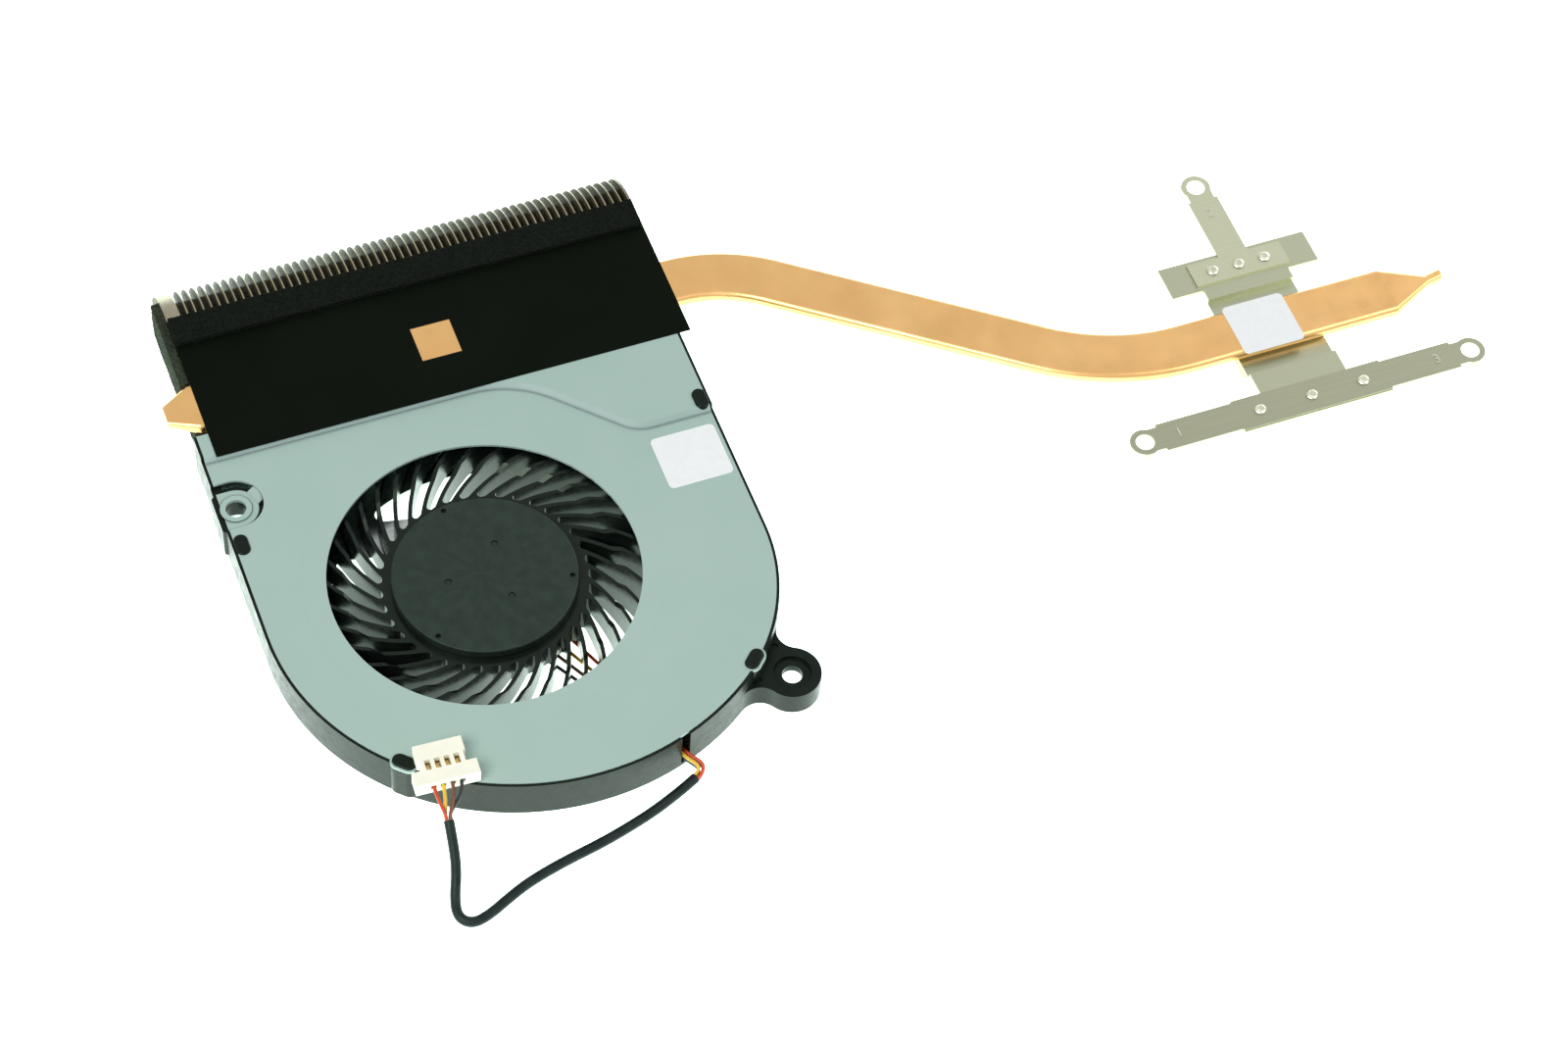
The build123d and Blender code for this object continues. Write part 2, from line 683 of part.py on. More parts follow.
# Fin stack: thin plates with a notch for the pipe and a rounded rear, and a flanged cap at the left end
def fin_face():
    channel = PIPE_Y + PIPE_WIDTH / 2 + PIPE_GAP
    drop = degrees(acos(1 - (STACK_TOP - FIN_BOTTOM) / FIN_NOSE_R))
    nose = JernArc((FIN_TOP_END, STACK_TOP), (1, 0), FIN_NOSE_R, -drop)
    outline = Polyline(
        nose @ 1,
        (FIN_FRONT, FIN_BOTTOM),
        (FIN_FRONT, PIPE_BOTTOM),
        (channel, PIPE_BOTTOM),
        (channel, STACK_TOP),
        nose @ 0,
    )
    return make_face([nose, outline])


def upright(face, left, right):
    """A profile drawn across the stack, given its thickness from left to right."""
    return Pos(left, 0, 0) * extrude(Plane.YZ * face, right - left)


def make_fins():
    fin = fin_face()
    gaps = int((FIN_RIGHT - FIN_LEFT - FIN_CAP - FIN_SHEET) / FIN_PITCH)
    roof_front = PIPE_Y + PIPE_WIDTH / 2 + PIPE_GAP
    roof_low = STACK_TOP - FIN_SHEET
    sill_top = FIN_BOTTOM + FIN_SHEET
    solids = []
    for number in range(gaps):
        right = FIN_RIGHT - number * FIN_PITCH
        left = right - FIN_PITCH
        web = upright(fin, right - FIN_SHEET, right)
        web += block(left, right - FIN_SHEET, FIN_FRONT, FIN_SILL_END, FIN_BOTTOM, sill_top)
        web += block(left, right - FIN_SHEET, roof_front, FIN_TOP_END, roof_low, STACK_TOP)
        solids.append(web.solid())
    last = FIN_RIGHT - gaps * FIN_PITCH
    hollow = upright(offset(fin, -FIN_SHEET), FIN_LEFT + FIN_SHEET, last - FIN_SHEET)
    solids.append((upright(fin, FIN_LEFT, last) - hollow).solid())
    return Compound(solids)


# Heat pipe: flattened tube with two bends, pinched to a tail at the left and to a nozzle at the right
def pipe_section(width, thick, edge):
    return RectangleRounded(width, thick, edge)


def section_at(x, y, width, thick, edge):
    frame = Plane(origin=(x, y, PIPE_MID_Z), x_dir=(0, 1, 0), z_dir=(1, 0, 0))
    return frame * pipe_section(width, thick, edge)


def make_pipe():
    run = [
        (PIPE_LEFT, PIPE_Y, PIPE_MID_Z),
        (PIPE_FIRST_BEND_X, PIPE_Y, PIPE_MID_Z),
        (PIPE_SECOND_BEND_X, PIPE_FAR_Y, PIPE_MID_Z),
        (PIPE_RIGHT, PIPE_FAR_Y, PIPE_MID_Z),
    ]
    path = FilletPolyline(*run, radius=[PIPE_FIRST_R, PIPE_SECOND_R])
    full_left = section_at(PIPE_LEFT, PIPE_Y, PIPE_WIDTH, PIPE_THICK, PIPE_EDGE_R)
    full_right = section_at(PIPE_RIGHT, PIPE_FAR_Y, PIPE_WIDTH, PIPE_THICK, PIPE_EDGE_R)
    body = sweep(full_left, path)
    tail_end = section_at(PIPE_LEFT - TAIL_LENGTH, PIPE_Y, TAIL_WIDTH, TAIL_THICK, TAIL_EDGE_R)
    nozzle_x = PIPE_RIGHT + NOZZLE_LENGTH
    nozzle = section_at(nozzle_x, PIPE_FAR_Y, NOZZLE_WIDTH, NOZZLE_WIDTH, NOZZLE_EDGE_R)
    tip = section_at(nozzle_x + TIP_LENGTH, PIPE_FAR_Y + TIP_SIDE, NOZZLE_WIDTH, NOZZLE_WIDTH, NOZZLE_EDGE_R)
    body += loft([full_left, tail_end])
    body += loft([full_right, nozzle])
    return body + loft([nozzle, tip])


# Films and foams
def make_film():
    right = FIN_RIGHT + FILM_OVERHANG
    sheet = block(FIN_LEFT, right, FILM_FRONT, FILM_BACK, STACK_TOP, FILM_TOP)
    window = Pos(WINDOW_X, WINDOW_Y) * Rectangle(WINDOW_WIDTH, WINDOW_DEPTH)
    return sheet - plate(window, STACK_TOP, FILM_TOP)


def make_end_film():
    return upright(fin_face(), FIN_RIGHT, FIN_RIGHT + END_FILM)


def make_top_foam():
    return block(FIN_LEFT, FIN_RIGHT, TOP_FOAM_FRONT, FILM_BACK, FILM_TOP, FILM_TOP + TOP_FOAM)


def make_side_foam():
    strip = block(FIN_LEFT - SIDE_FOAM, FIN_LEFT, FIN_FRONT, SIDE_FOAM_BACK, SIDE_FOAM_BOTTOM, STACK_TOP)
    channel = PIPE_Y + PIPE_WIDTH / 2 + SIDE_FOAM_GAP
    return strip - block(
        FIN_LEFT - SIDE_FOAM, FIN_LEFT, FIN_FRONT, channel, PIPE_BOTTOM - SIDE_FOAM_GAP, STACK_TOP
    )


# Bracket: pocket under the pipe, a rise on each side and two flanges for the arms
def make_bracket():
    half = BRACKET_WIDTH / 2
    left = BRACKET_X - half
    right = BRACKET_X + half
    upper_end = UPPER_FLANGE_Y + FLANGE_DEPTH / 2
    lower_end = LOWER_FLANGE_Y - FLANGE_DEPTH / 2
    flange_left = BRACKET_X - FLANGE_WIDTH / 2
    flange_right = BRACKET_X + FLANGE_WIDTH / 2
    strip = block(left, right, POCKET_FRONT, POCKET_BACK, POCKET_Z, PIPE_BOTTOM)
    strip += block(left, right, POCKET_BACK, POCKET_BACK + BRACKET_SHEET, POCKET_Z, ARM_Z)
    strip += block(left, right, POCKET_FRONT - BRACKET_SHEET, POCKET_FRONT, POCKET_Z, ARM_Z)
    strip += block(left, right, POCKET_BACK + BRACKET_SHEET, upper_end, FLANGE_Z, ARM_Z)
    strip += block(left, right, lower_end, POCKET_FRONT - BRACKET_SHEET, FLANGE_Z, ARM_Z)
    strip += block(flange_left, flange_right, upper_end - FLANGE_DEPTH, upper_end, FLANGE_Z, ARM_Z)
    strip += block(flange_left, flange_right, lower_end, lower_end + FLANGE_DEPTH, FLANGE_Z, ARM_Z)
    for x, y in rivet_points():
        strip -= disc(RIVET_R, FLANGE_Z, ARM_Z, x, y)
    return strip


def make_contact_block():
    half = BLOCK_WIDTH / 2
    front = PIPE_FAR_Y - BLOCK_DEPTH / 2
    bottom = POCKET_Z - BLOCK_THICK
    return block(BRACKET_X - half, BRACKET_X + half, front, front + BLOCK_DEPTH, bottom, POCKET_Z)


def rivet_points():
    upper = [(BRACKET_X + step * RIVET_PITCH_UPPER, UPPER_FLANGE_Y) for step in (-1, 0, 1)]
    lower = [(BRACKET_X + step * RIVET_PITCH_LOWER, LOWER_FLANGE_Y) for step in (-1, 0, 1)]
    return upper + lower


# Spring arms: flat strips with an eye at each end and a small lip bent down beside it
def eye_cut(x, y):
    return disc(ARM_HOLE_R, ARM_Z, ARM_TOP, x, y)


def lip(x, y):
    low = ARM_Z - ARM_LIP
    return block(x - ARM_LIP_WIDTH / 2, x + ARM_LIP_WIDTH / 2, y - ARM_SHEET, y, low, ARM_TOP)


def make_lower_arm():
    y = LOWER_FLANGE_Y
    span = ARM_RIGHT_HOLE_X - ARM_LEFT_HOLE_X
    middle = (ARM_LEFT_HOLE_X + ARM_RIGHT_HOLE_X) / 2
    plan = Pos(middle, y) * Rectangle(span - 2 * ARM_NECK, ARM_WIDTH)
    plan += Pos(BRACKET_X, y) * Rectangle(FLANGE_WIDTH, ARM_WIDE)
    plan += Pos(middle, y) * Rectangle(span, 2 * ARM_EYE_R - 2 * ARM_SHEET)
    for x in (ARM_LEFT_HOLE_X, ARM_RIGHT_HOLE_X):
        plan += Pos(x, y) * Circle(ARM_EYE_R)
    arm = plate(plan, ARM_Z, ARM_TOP)
    for x in (ARM_LEFT_HOLE_X, ARM_RIGHT_HOLE_X):
        arm += lip(x, y - ARM_EYE_R + ARM_SHEET)
        arm -= eye_cut(x, y)
    for x, row in rivet_points()[3:]:
        arm -= disc(RIVET_R, ARM_Z, ARM_TOP, x, row)
    return arm


def make_upper_arm():
    y = UPPER_FLANGE_Y
    end = y + T_REACH
    plan = Pos(BRACKET_X, y) * Rectangle(T_FOOT_WIDTH, T_FOOT_DEPTH)
    plan += Pos(BRACKET_X, (y + end - ARM_NECK) / 2) * Rectangle(ARM_WIDTH, end - ARM_NECK - y)
    plan += Pos(BRACKET_X, (y + end) / 2) * Rectangle(2 * ARM_EYE_R - 2 * ARM_SHEET, end - y)
    plan += Pos(BRACKET_X, end) * Circle(ARM_EYE_R)
    arm = plate(plan, ARM_Z, ARM_TOP)
    arm += Pos(BRACKET_X, end, 0) * Rot(0, 0, -90) * lip(0, ARM_SHEET - ARM_EYE_R)
    arm -= eye_cut(BRACKET_X, end)
    for x, row in rivet_points()[:3]:
        arm -= disc(RIVET_R, ARM_Z, ARM_TOP, x, row)
    return arm


def make_rivets():
    head = disc(RIVET_HEAD_R, ARM_TOP, ARM_TOP + RIVET_HEAD)
    head = chamfer(head.faces().sort_by(Axis.Z)[-1].edges(), RIVET_EDGE)
    rivet = head + disc(RIVET_R, FLANGE_Z, ARM_TOP) + disc(RIVET_HEAD_R, FLANGE_Z - RIVET_FOOT, FLANGE_Z)
    return Compound([(Pos(x, y, 0) * rivet).solid() for x, y in rivet_points()])


# Labels
def make_fan_label():
    x = SCROLL_RIGHT - FAN_LABEL_EDGE - FAN_LABEL_WIDTH / 2
    face = Pos(x, FAN_LABEL_Y) * RectangleRounded(FAN_LABEL_WIDTH, FAN_LABEL_DEPTH, LABEL_CORNER_R)
    return plate(face, FAN_HEIGHT, FAN_HEIGHT + LABEL)


def make_pipe_label():
    face = RectangleRounded(PIPE_LABEL_WIDTH, PIPE_LABEL_DEPTH, LABEL_CORNER_R)
    return plate(Pos(PIPE_LABEL_X, PIPE_FAR_Y) * face, STACK_TOP, STACK_TOP + LABEL)


# Lead: four wires leave the board, cross the base, pass the slot and enter the sleeve
SLEEVE_ROUTE = [
    (18.0, -38.65, 0.9),
    (12.8, -41.2, 0.8),
    (3.7, -43.95, 0.8),
    (-3.9, -45.4, 0.8),
    (-9.1, -46.8, 0.8),
    (-12.2, -48.1, 0.8),
    (-16.1, -50.0, 0.8),
    (-18.7, -50.5, 0.8),
    (-20.2, -48.9, 0.85),
    (-19.8, -46.4, 1.5),
    (-18.5, -43.4, 3.3),
    (-17.95, -40.5, 5.4),
    (-17.65, -37.6, 7.2),
]
ELBOW = (19.4, -37.5, 1.6)
LEAD_IN = (18.68, -38.31, 0.92)


def cord(points, radius):
    path = Polyline(*points)
    section = Plane(origin=path @ 0, z_dir=path % 0) * Circle(radius)
    return sweep(section, path, transition=Transition.RIGHT)


def flat_left(heading):
    return Vector(-heading.Y, heading.X).normalized()


def beside(route, lane, level):
    """The run of one wire in the bundle of two by two, with its corners mitred."""
    points = [Vector(*point) for point in route]
    moved = []
    for number, point in enumerate(points):
        leaving = points[number + 1] - point if number + 1 < len(points) else point - points[number - 1]
        arriving = point - points[number - 1] if number else leaving
        across = flat_left(arriving) + flat_left(leaving)
        upward = arriving.cross(flat_left(arriving)).normalized()
        aside = across * (2 * lane * WIRE_STEP / across.length**2)
        moved.append(point + aside + upward * (level * WIRE_STEP))
    return moved


def slot_point(depth, side, height):
    """A place on the line through the slot: how far inside the wall, how far aside, how high."""
    point, outward = scroll_at(SLOT_TURN, depth)
    aside = polar(1, outward + 90) * (side * WIRE_STEP)
    return Vector(point.X, point.Y, height) + aside


def plug_frame():
    return Pos(PLUG_X, PLUG_Y, PLUG_Z) * Rot(0, 0, PLUG_TURN)


def plug_point(x, y, z):
    return (plug_frame() * Pos(x, y, z)).position


def pin_x(pin):
    return (pin - (PIN_COUNT - 1) / 2) * PIN_PITCH


def make_wire(pad, edge, row, lane, level, pin):
    in_slot = SLOT_FLOOR + WIRE_LIFT
    exit_route = [
        slot_point(WALL, 0, in_slot),
        slot_point(-WIRE_EXIT, 0, in_slot),
        Vector(*ELBOW),
        Vector(*LEAD_IN),
        Vector(*SLEEVE_ROUTE[0]),
    ]
    start = [
        Vector(pad[0], pad[1], WIRE_FLOOR),
        Vector(edge[0], edge[1], WIRE_FLOOR),
        slot_point(WIRE_CLIMB + level * WIRE_STAGGER, row, WIRE_FLOOR),
    ]
    far_lane = 1 if pin < PIN_COUNT / 2 else -1
    far_level = 1 if pin % 2 == 0 else -1
    end = Vector(*SLEEVE_ROUTE[-1])
    heading = (end - Vector(*SLEEVE_ROUTE[-2])).normalized()
    leave = beside([end, end + heading * LEAD_OUT], far_lane, far_level)
    pin_z = PLUG_HEIGHT / 2
    enter = [plug_point(pin_x(pin), -PIN_RUN, pin_z), plug_point(pin_x(pin), CONTACT_START, pin_z)]
    first = cord(start + beside(exit_route, lane, level), WIRE_R)
    second = cord(leave + enter, WIRE_R)
    return Compound([first.solid(), second.solid()])


def make_plug():
    waist_y = PLUG_FLANGE_DEPTH + PLUG_WAIST_DEPTH / 2
    front_y = PLUG_FLANGE_DEPTH + PLUG_WAIST_DEPTH + PLUG_FRONT_DEPTH / 2
    plan = Pos(0, PLUG_FLANGE_DEPTH / 2) * Rectangle(PLUG_FLANGE_WIDTH, PLUG_FLANGE_DEPTH)
    plan += Pos(0, waist_y) * Rectangle(PLUG_WAIST_WIDTH, PLUG_WAIST_DEPTH)
    plan += Pos(0, front_y) * Rectangle(PLUG_FRONT_WIDTH, PLUG_FRONT_DEPTH)
    body = plate(plan, 0, PLUG_HEIGHT)
    low = (PLUG_HEIGHT - CAVITY) / 2
    for pin in range(PIN_COUNT):
        left = pin_x(pin) - CAVITY / 2
        body -= block(left, left + CAVITY, 0, CAVITY_DEPTH, low, low + CAVITY)
        body -= block(
            left, left + CAVITY, CONTACT_START, CONTACT_START + CONTACT_WINDOW, low + CAVITY, PLUG_HEIGHT
        )
    return plug_frame() * body


def make_contacts():
    low = (PLUG_HEIGHT - CAVITY) / 2
    solids = []
    for pin in range(PIN_COUNT):
        left = pin_x(pin) - CONTACT_THICK / 2
        end = CONTACT_START + CONTACT_LENGTH
        leaf = block(left, left + CONTACT_THICK, CONTACT_START, end, low, low + CONTACT_THICK)
        solids.append((plug_frame() * leaf).solid())
    return Compound(solids)


# The pieces by name: first the module, then the lead that lies free
module = {
    "fan_housing": make_housing(),
    "fan_cover": make_cover(),
    "base_plate": make_base(),
    "impeller": make_impeller(),
    "rotor_yoke": make_yoke(),
    "magnet_ring": make_magnet(),
    "rotor_shaft": make_shaft(),
    "bearing_post": make_post(),
    "bearing_sleeve": make_bearing(),
    "thrust_pad": make_thrust_pad(),
    "motor_board": make_board(),
    "stator_core": make_core(),
    "stator_windings": make_windings(),
    "fin_stack": make_fins(),
    "heat_pipe": make_pipe(),
    "cover_film": make_film(),
    "end_film": make_end_film(),
    "top_foam": make_top_foam(),
    "side_foam": make_side_foam(),
    "bracket": make_bracket(),
    "contact_block": make_contact_block(),
    "upper_arm": make_upper_arm(),
    "lower_arm": make_lower_arm(),
    "arm_rivets": make_rivets(),
    "fan_label": make_fan_label(),
    "pipe_label": make_pipe_label(),
}
lead = {
    "wire_black": make_wire((2.6, -9.6), (8.0, -18.0), -3, -1, -1, 3),
    "wire_brown": make_wire((4.3, -9.0), (9.2, -17.6), -1, 1, -1, 2),
    "wire_yellow": make_wire((5.9, -8.1), (10.5, -17.2), 1, -1, 1, 1),
    "wire_red": make_wire((7.4, -6.8), (11.9, -16.6), 3, 1, 1, 0),
    "lead_sleeve": cord(SLEEVE_ROUTE, SLEEVE_R),
    "plug_housing": make_plug(),
    "plug_contacts": make_contacts(),
}

# Origin under the middle of the module, on the floor
extent = Compound([piece for piece in module.values()]).bounding_box()
middle = extent.center()
to_origin = Pos(-middle.X, -middle.Y, -extent.min.Z)

os.makedirs("parts", exist_ok=True)
for name, piece in {**module, **lead}.items():
    export_step(to_origin * piece, f"parts/{name}.step")
print("rotor axis at", tuple(round(value, 4) for value in to_origin.position))
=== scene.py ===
# %% [markdown]
# # A laptop cooling module
# The solids come from the CAD frame, in metres. This lesson lights them as in the photograph, gives
# every surface its own procedural material and adds the small pieces that solids leave out.

# %% Load the frame
import json
import math

import bmesh
import bpy
from mathutils import Matrix, Vector, noise


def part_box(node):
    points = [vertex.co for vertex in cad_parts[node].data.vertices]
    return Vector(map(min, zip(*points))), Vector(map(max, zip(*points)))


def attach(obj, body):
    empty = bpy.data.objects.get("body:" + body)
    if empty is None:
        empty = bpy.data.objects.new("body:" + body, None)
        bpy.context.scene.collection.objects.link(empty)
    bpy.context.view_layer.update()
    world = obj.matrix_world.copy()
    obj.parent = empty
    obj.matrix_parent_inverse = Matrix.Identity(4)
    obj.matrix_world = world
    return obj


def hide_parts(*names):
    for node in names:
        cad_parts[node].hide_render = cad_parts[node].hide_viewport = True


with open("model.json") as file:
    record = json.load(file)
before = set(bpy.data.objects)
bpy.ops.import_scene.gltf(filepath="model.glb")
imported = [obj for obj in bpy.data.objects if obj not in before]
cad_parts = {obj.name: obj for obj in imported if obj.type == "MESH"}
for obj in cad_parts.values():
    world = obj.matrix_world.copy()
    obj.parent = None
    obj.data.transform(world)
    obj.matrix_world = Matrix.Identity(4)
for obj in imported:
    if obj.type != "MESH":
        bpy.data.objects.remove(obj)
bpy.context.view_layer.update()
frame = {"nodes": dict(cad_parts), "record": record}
nodes = frame["nodes"]
rotor_axis = Vector(frame["record"]["behaviour"]["joints"][0]["pos_m"])
print("nodes", len(nodes), "rotor axis", tuple(round(v, 5) for v in rotor_axis))

# %% [markdown]
# ## Camera
# The viewing angle was fitted to the round inlet, the straight fin stack and the screw holes.
# Places below are in millimetres from the rotor axis, so one helper turns them into metres.

# %% Camera
MM = 0.001


def at(x, y, z):
    """A place in millimetres from the rotor axis, in metres in the row frame."""
    return rotor_axis + Vector((x, y, z)) * MM


camera_right = Vector((0.93348796, -0.35529195, 0.04866058))
camera_down = Vector((-0.26372961, -0.77210656, -0.57818522))
camera_ahead = Vector((0.24299571, 0.52689571, -0.81445319))
camera = bpy.data.objects.new("camera", bpy.data.cameras.new("camera"))
camera.data.sensor_fit = "HORIZONTAL"
camera.data.sensor_width = 36.0
camera.data.lens = 92.54
camera.data.clip_start = 0.01
turn = Matrix((camera_right, -camera_down, -camera_ahead)).transposed().to_4x4()
camera.matrix_world = Matrix.Translation(at(-97.816, -312.045, 480.870)) @ turn
bpy.context.collection.objects.link(camera)
bpy.context.scene.camera = camera
print("camera at", tuple(round(v, 4) for v in camera.matrix_world.translation))

# %% [markdown]
# ## Light and floor
# The object lies on a bright white table. Black plastic shows that table in its sides, and the
# table shines up through the openings of the base plate. The sky has one strength for the camera, one
# for reflections and one as a light.

# %% Sky
SKY_SEEN = 1.0
SKY_MIRRORED = 0.85
SKY_LIGHTING = 0.3

scene = bpy.context.scene
scene.view_settings.view_transform = "Standard"
world = bpy.data.worlds.new("studio")
scene.world = world
world.use_nodes = True
sky = world.node_tree
sky.nodes.clear()


def wire(tree, *pairs):
    for a, b in pairs:
        tree.links.new(a, b)


def background(strength):
    node = sky.nodes.new("ShaderNodeBackground")
    node.inputs["Color"].default_value = (1, 1, 1, 1)
    node.inputs["Strength"].default_value = strength
    return node


seen, mirrored, lighting = [background(strength) for strength in (SKY_SEEN, SKY_MIRRORED, SKY_LIGHTING)]
path = sky.nodes.new("ShaderNodeLightPath")
gloss = sky.nodes.new("ShaderNodeMath")
gloss.operation = "MAXIMUM"
choose = sky.nodes.new("ShaderNodeMixShader")
front = sky.nodes.new("ShaderNodeMixShader")
world_out = sky.nodes.new("ShaderNodeOutputWorld")
wire(
    sky,
    (path.outputs["Is Glossy Ray"], gloss.inputs[0]),
    (path.outputs["Is Transmission Ray"], gloss.inputs[1]),
    (gloss.outputs[0], choose.inputs[0]),
    (lighting.outputs[0], choose.inputs[1]),
    (mirrored.outputs[0], choose.inputs[2]),
    (path.outputs["Is Camera Ray"], front.inputs[0]),
    (choose.outputs[0], front.inputs[1]),
    (seen.outputs[0], front.inputs[2]),
    (front.outputs[0], world_out.inputs[0]),
)
print("sky nodes", len(sky.nodes))


# %% Lamps
def soft_light(name, place, target, size, power):
    lamp = bpy.data.lights.new(name, "AREA")
    lamp.shape = "DISK"
    lamp.size = size
    lamp.energy = power
    lamp_object = bpy.data.objects.new(name, lamp)
    lamp_object.location = place
    lamp_object.rotation_euler = (place - target).to_track_quat("Z", "Y").to_euler()
    bpy.context.collection.objects.link(lamp_object)
    return lamp_object


middle = at(40, 10, 0)
lamps = [
    soft_light("key", at(-420, -260, 620), middle, size=0.5, power=4.7),
    soft_light("fill", at(520, -160, 560), middle, size=0.6, power=1.9),
    soft_light("back", at(700, 480, 260), middle, size=0.5, power=1.6),
]
print("lamps", [lamp.name for lamp in lamps])

# %% Floor
FLOOR_REACH = 3.0
FLOOR_DROP = 0.0001

floor_mesh = bpy.data.meshes.new("floor")
corners = [(-1, -1), (1, -1), (1, 1), (-1, 1)]
floor_mesh.from_pydata([(x * FLOOR_REACH, y * FLOOR_REACH, 0) for x, y in corners], [], [(0, 1, 2, 3)])
floor = bpy.data.objects.new("floor", floor_mesh)
floor.location.z = -FLOOR_DROP
bpy.context.collection.objects.link(floor)
floor_material = bpy.data.materials.new("table_white")
floor_material.use_nodes = True
floor_shader = floor_material.node_tree.nodes["Principled BSDF"]
floor_shader.inputs["Base Color"].default_value = (0.9, 0.9, 0.9, 1)
floor_shader.inputs["Roughness"].default_value = 0.8
floor_shader.inputs["Specular IOR Level"].default_value = 0.1
floor_shader.inputs["Emission Color"].default_value = (0.82, 1.0, 0.91, 1)
floor_shader.inputs["Emission Strength"].default_value = 2.2
floor_mesh.materials.append(floor_material)
print("floor", tuple(floor.dimensions))

# %% [markdown]
# ## Shared shader effects
# Five small groups serve all materials: patches, brushing, grain and pores carry surface detail, and the
# fifth finds hollow corners for painted shade. The first four read Object coordinates, so a pattern keeps
# its size in millimetres on every piece. The last one looks for hollow corners by ambient occlusion.

# %% Group helpers
def new_group(name, inputs, outputs):
    group = bpy.data.node_groups.new(name, "ShaderNodeTree")
    for label, default in inputs:
        kind = "NodeSocketVector" if isinstance(default, tuple) else "NodeSocketFloat"
        socket = group.interface.new_socket(label, in_out="INPUT", socket_type=kind)
        socket.default_value = default
    for label, kind in outputs:
        group.interface.new_socket(label, in_out="OUTPUT", socket_type=kind)
    return group, group.nodes.new("NodeGroupInput"), group.nodes.new("NodeGroupOutput")


def ramp(tree, low, high, start=0.0, end=1.0):
    """A map from one range of values to another."""
    node = tree.nodes.new("ShaderNodeMapRange")
    for label, value in (("From Min", low), ("From Max", high), ("To Min", start), ("To Max", end)):
        node.inputs[label].default_value = value
    return node


def vector_step(tree, operation, second=None):
    node = tree.nodes.new("ShaderNodeVectorMath")
    node.operation = operation
    if second is not None:
        node.inputs[1].default_value = second
    return node


# %% Patches
patches, gin, gout = new_group(
    "Patches",
    [("Size per Metre", 300.0), ("Detail", 4.0), ("Low", 0.0), ("High", 1.0)],
    [("Value", "NodeSocketFloat")],
)
coords = patches.nodes.new("ShaderNodeTexCoord")
cloud = patches.nodes.new("ShaderNodeTexNoise")
spread = ramp(patches, 0.32, 0.68)
wire(
    patches,
    (coords.outputs["Object"], cloud.inputs["Vector"]),
    (gin.outputs["Size per Metre"], cloud.inputs["Scale"]),
    (gin.outputs["Detail"], cloud.inputs["Detail"]),
    (cloud.outputs["Fac"], spread.inputs["Value"]),
    (gin.outputs["Low"], spread.inputs["To Min"]),
    (gin.outputs["High"], spread.inputs["To Max"]),
    (spread.outputs["Result"], gout.inputs["Value"]),
)
print("group", patches.name, len(patches.nodes))

# %% Brushing
brushing, gin, gout = new_group(
    "Brushing",
    [("Stretch", (60.0, 6000.0, 6000.0)), ("Low", 0.0), ("High", 1.0)],
    [("Value", "NodeSocketFloat")],
)
coords = brushing.nodes.new("ShaderNodeTexCoord")
scaled = vector_step(brushing, "MULTIPLY")
cloud = brushing.nodes.new("ShaderNodeTexNoise")
cloud.inputs["Scale"].default_value = 1.0
cloud.inputs["Detail"].default_value = 3.0
spread = ramp(brushing, 0.3, 0.7)
wire(
    brushing,
    (coords.outputs["Object"], scaled.inputs[0]),
    (gin.outputs["Stretch"], scaled.inputs[1]),
    (scaled.outputs[0], cloud.inputs["Vector"]),
    (cloud.outputs["Fac"], spread.inputs["Value"]),
    (gin.outputs["Low"], spread.inputs["To Min"]),
    (gin.outputs["High"], spread.inputs["To Max"]),
    (spread.outputs["Result"], gout.inputs["Value"]),
)
print("group", brushing.name, len(brushing.nodes))

# %% Grain
grain, gin, gout = new_group(
    "Grain",
    [("Size per Metre", 4000.0), ("Depth", 0.00001), ("Strength", 0.3)],
    [("Normal", "NodeSocketVector")],
)
coords = grain.nodes.new("ShaderNodeTexCoord")
cloud = grain.nodes.new("ShaderNodeTexNoise")
cloud.inputs["Detail"].default_value = 3.0
bump = grain.nodes.new("ShaderNodeBump")
wire(
    grain,
    (coords.outputs["Object"], cloud.inputs["Vector"]),
    (gin.outputs["Size per Metre"], cloud.inputs["Scale"]),
    (cloud.outputs["Fac"], bump.inputs["Height"]),
    (gin.outputs["Depth"], bump.inputs["Distance"]),
    (gin.outputs["Strength"], bump.inputs["Strength"]),
    (bump.outputs["Normal"], gout.inputs["Normal"]),
)
print("group", grain.name, len(grain.nodes))

# %% Pores
pores, gin, gout = new_group(
    "Pores",
    [("Size per Metre", 2500.0), ("Depth", 0.0002), ("Strength", 0.8)],
    [("Mask", "NodeSocketFloat"), ("Normal", "NodeSocketVector")],
)
coords = pores.nodes.new("ShaderNodeTexCoord")
cells = pores.nodes.new("ShaderNodeTexVoronoi")
spread = ramp(pores, 0.0, 0.75)
bump = pores.nodes.new("ShaderNodeBump")
wire(
    pores,
    (coords.outputs["Object"], cells.inputs["Vector"]),
    (gin.outputs["Size per Metre"], cells.inputs["Scale"]),
    (cells.outputs["Distance"], spread.inputs["Value"]),
    (spread.outputs["Result"], gout.inputs["Mask"]),
    (spread.outputs["Result"], bump.inputs["Height"]),
    (gin.outputs["Depth"], bump.inputs["Distance"]),
    (gin.outputs["Strength"], bump.inputs["Strength"]),
    (bump.outputs["Normal"], gout.inputs["Normal"]),
)
print("group", pores.name, len(pores.nodes))

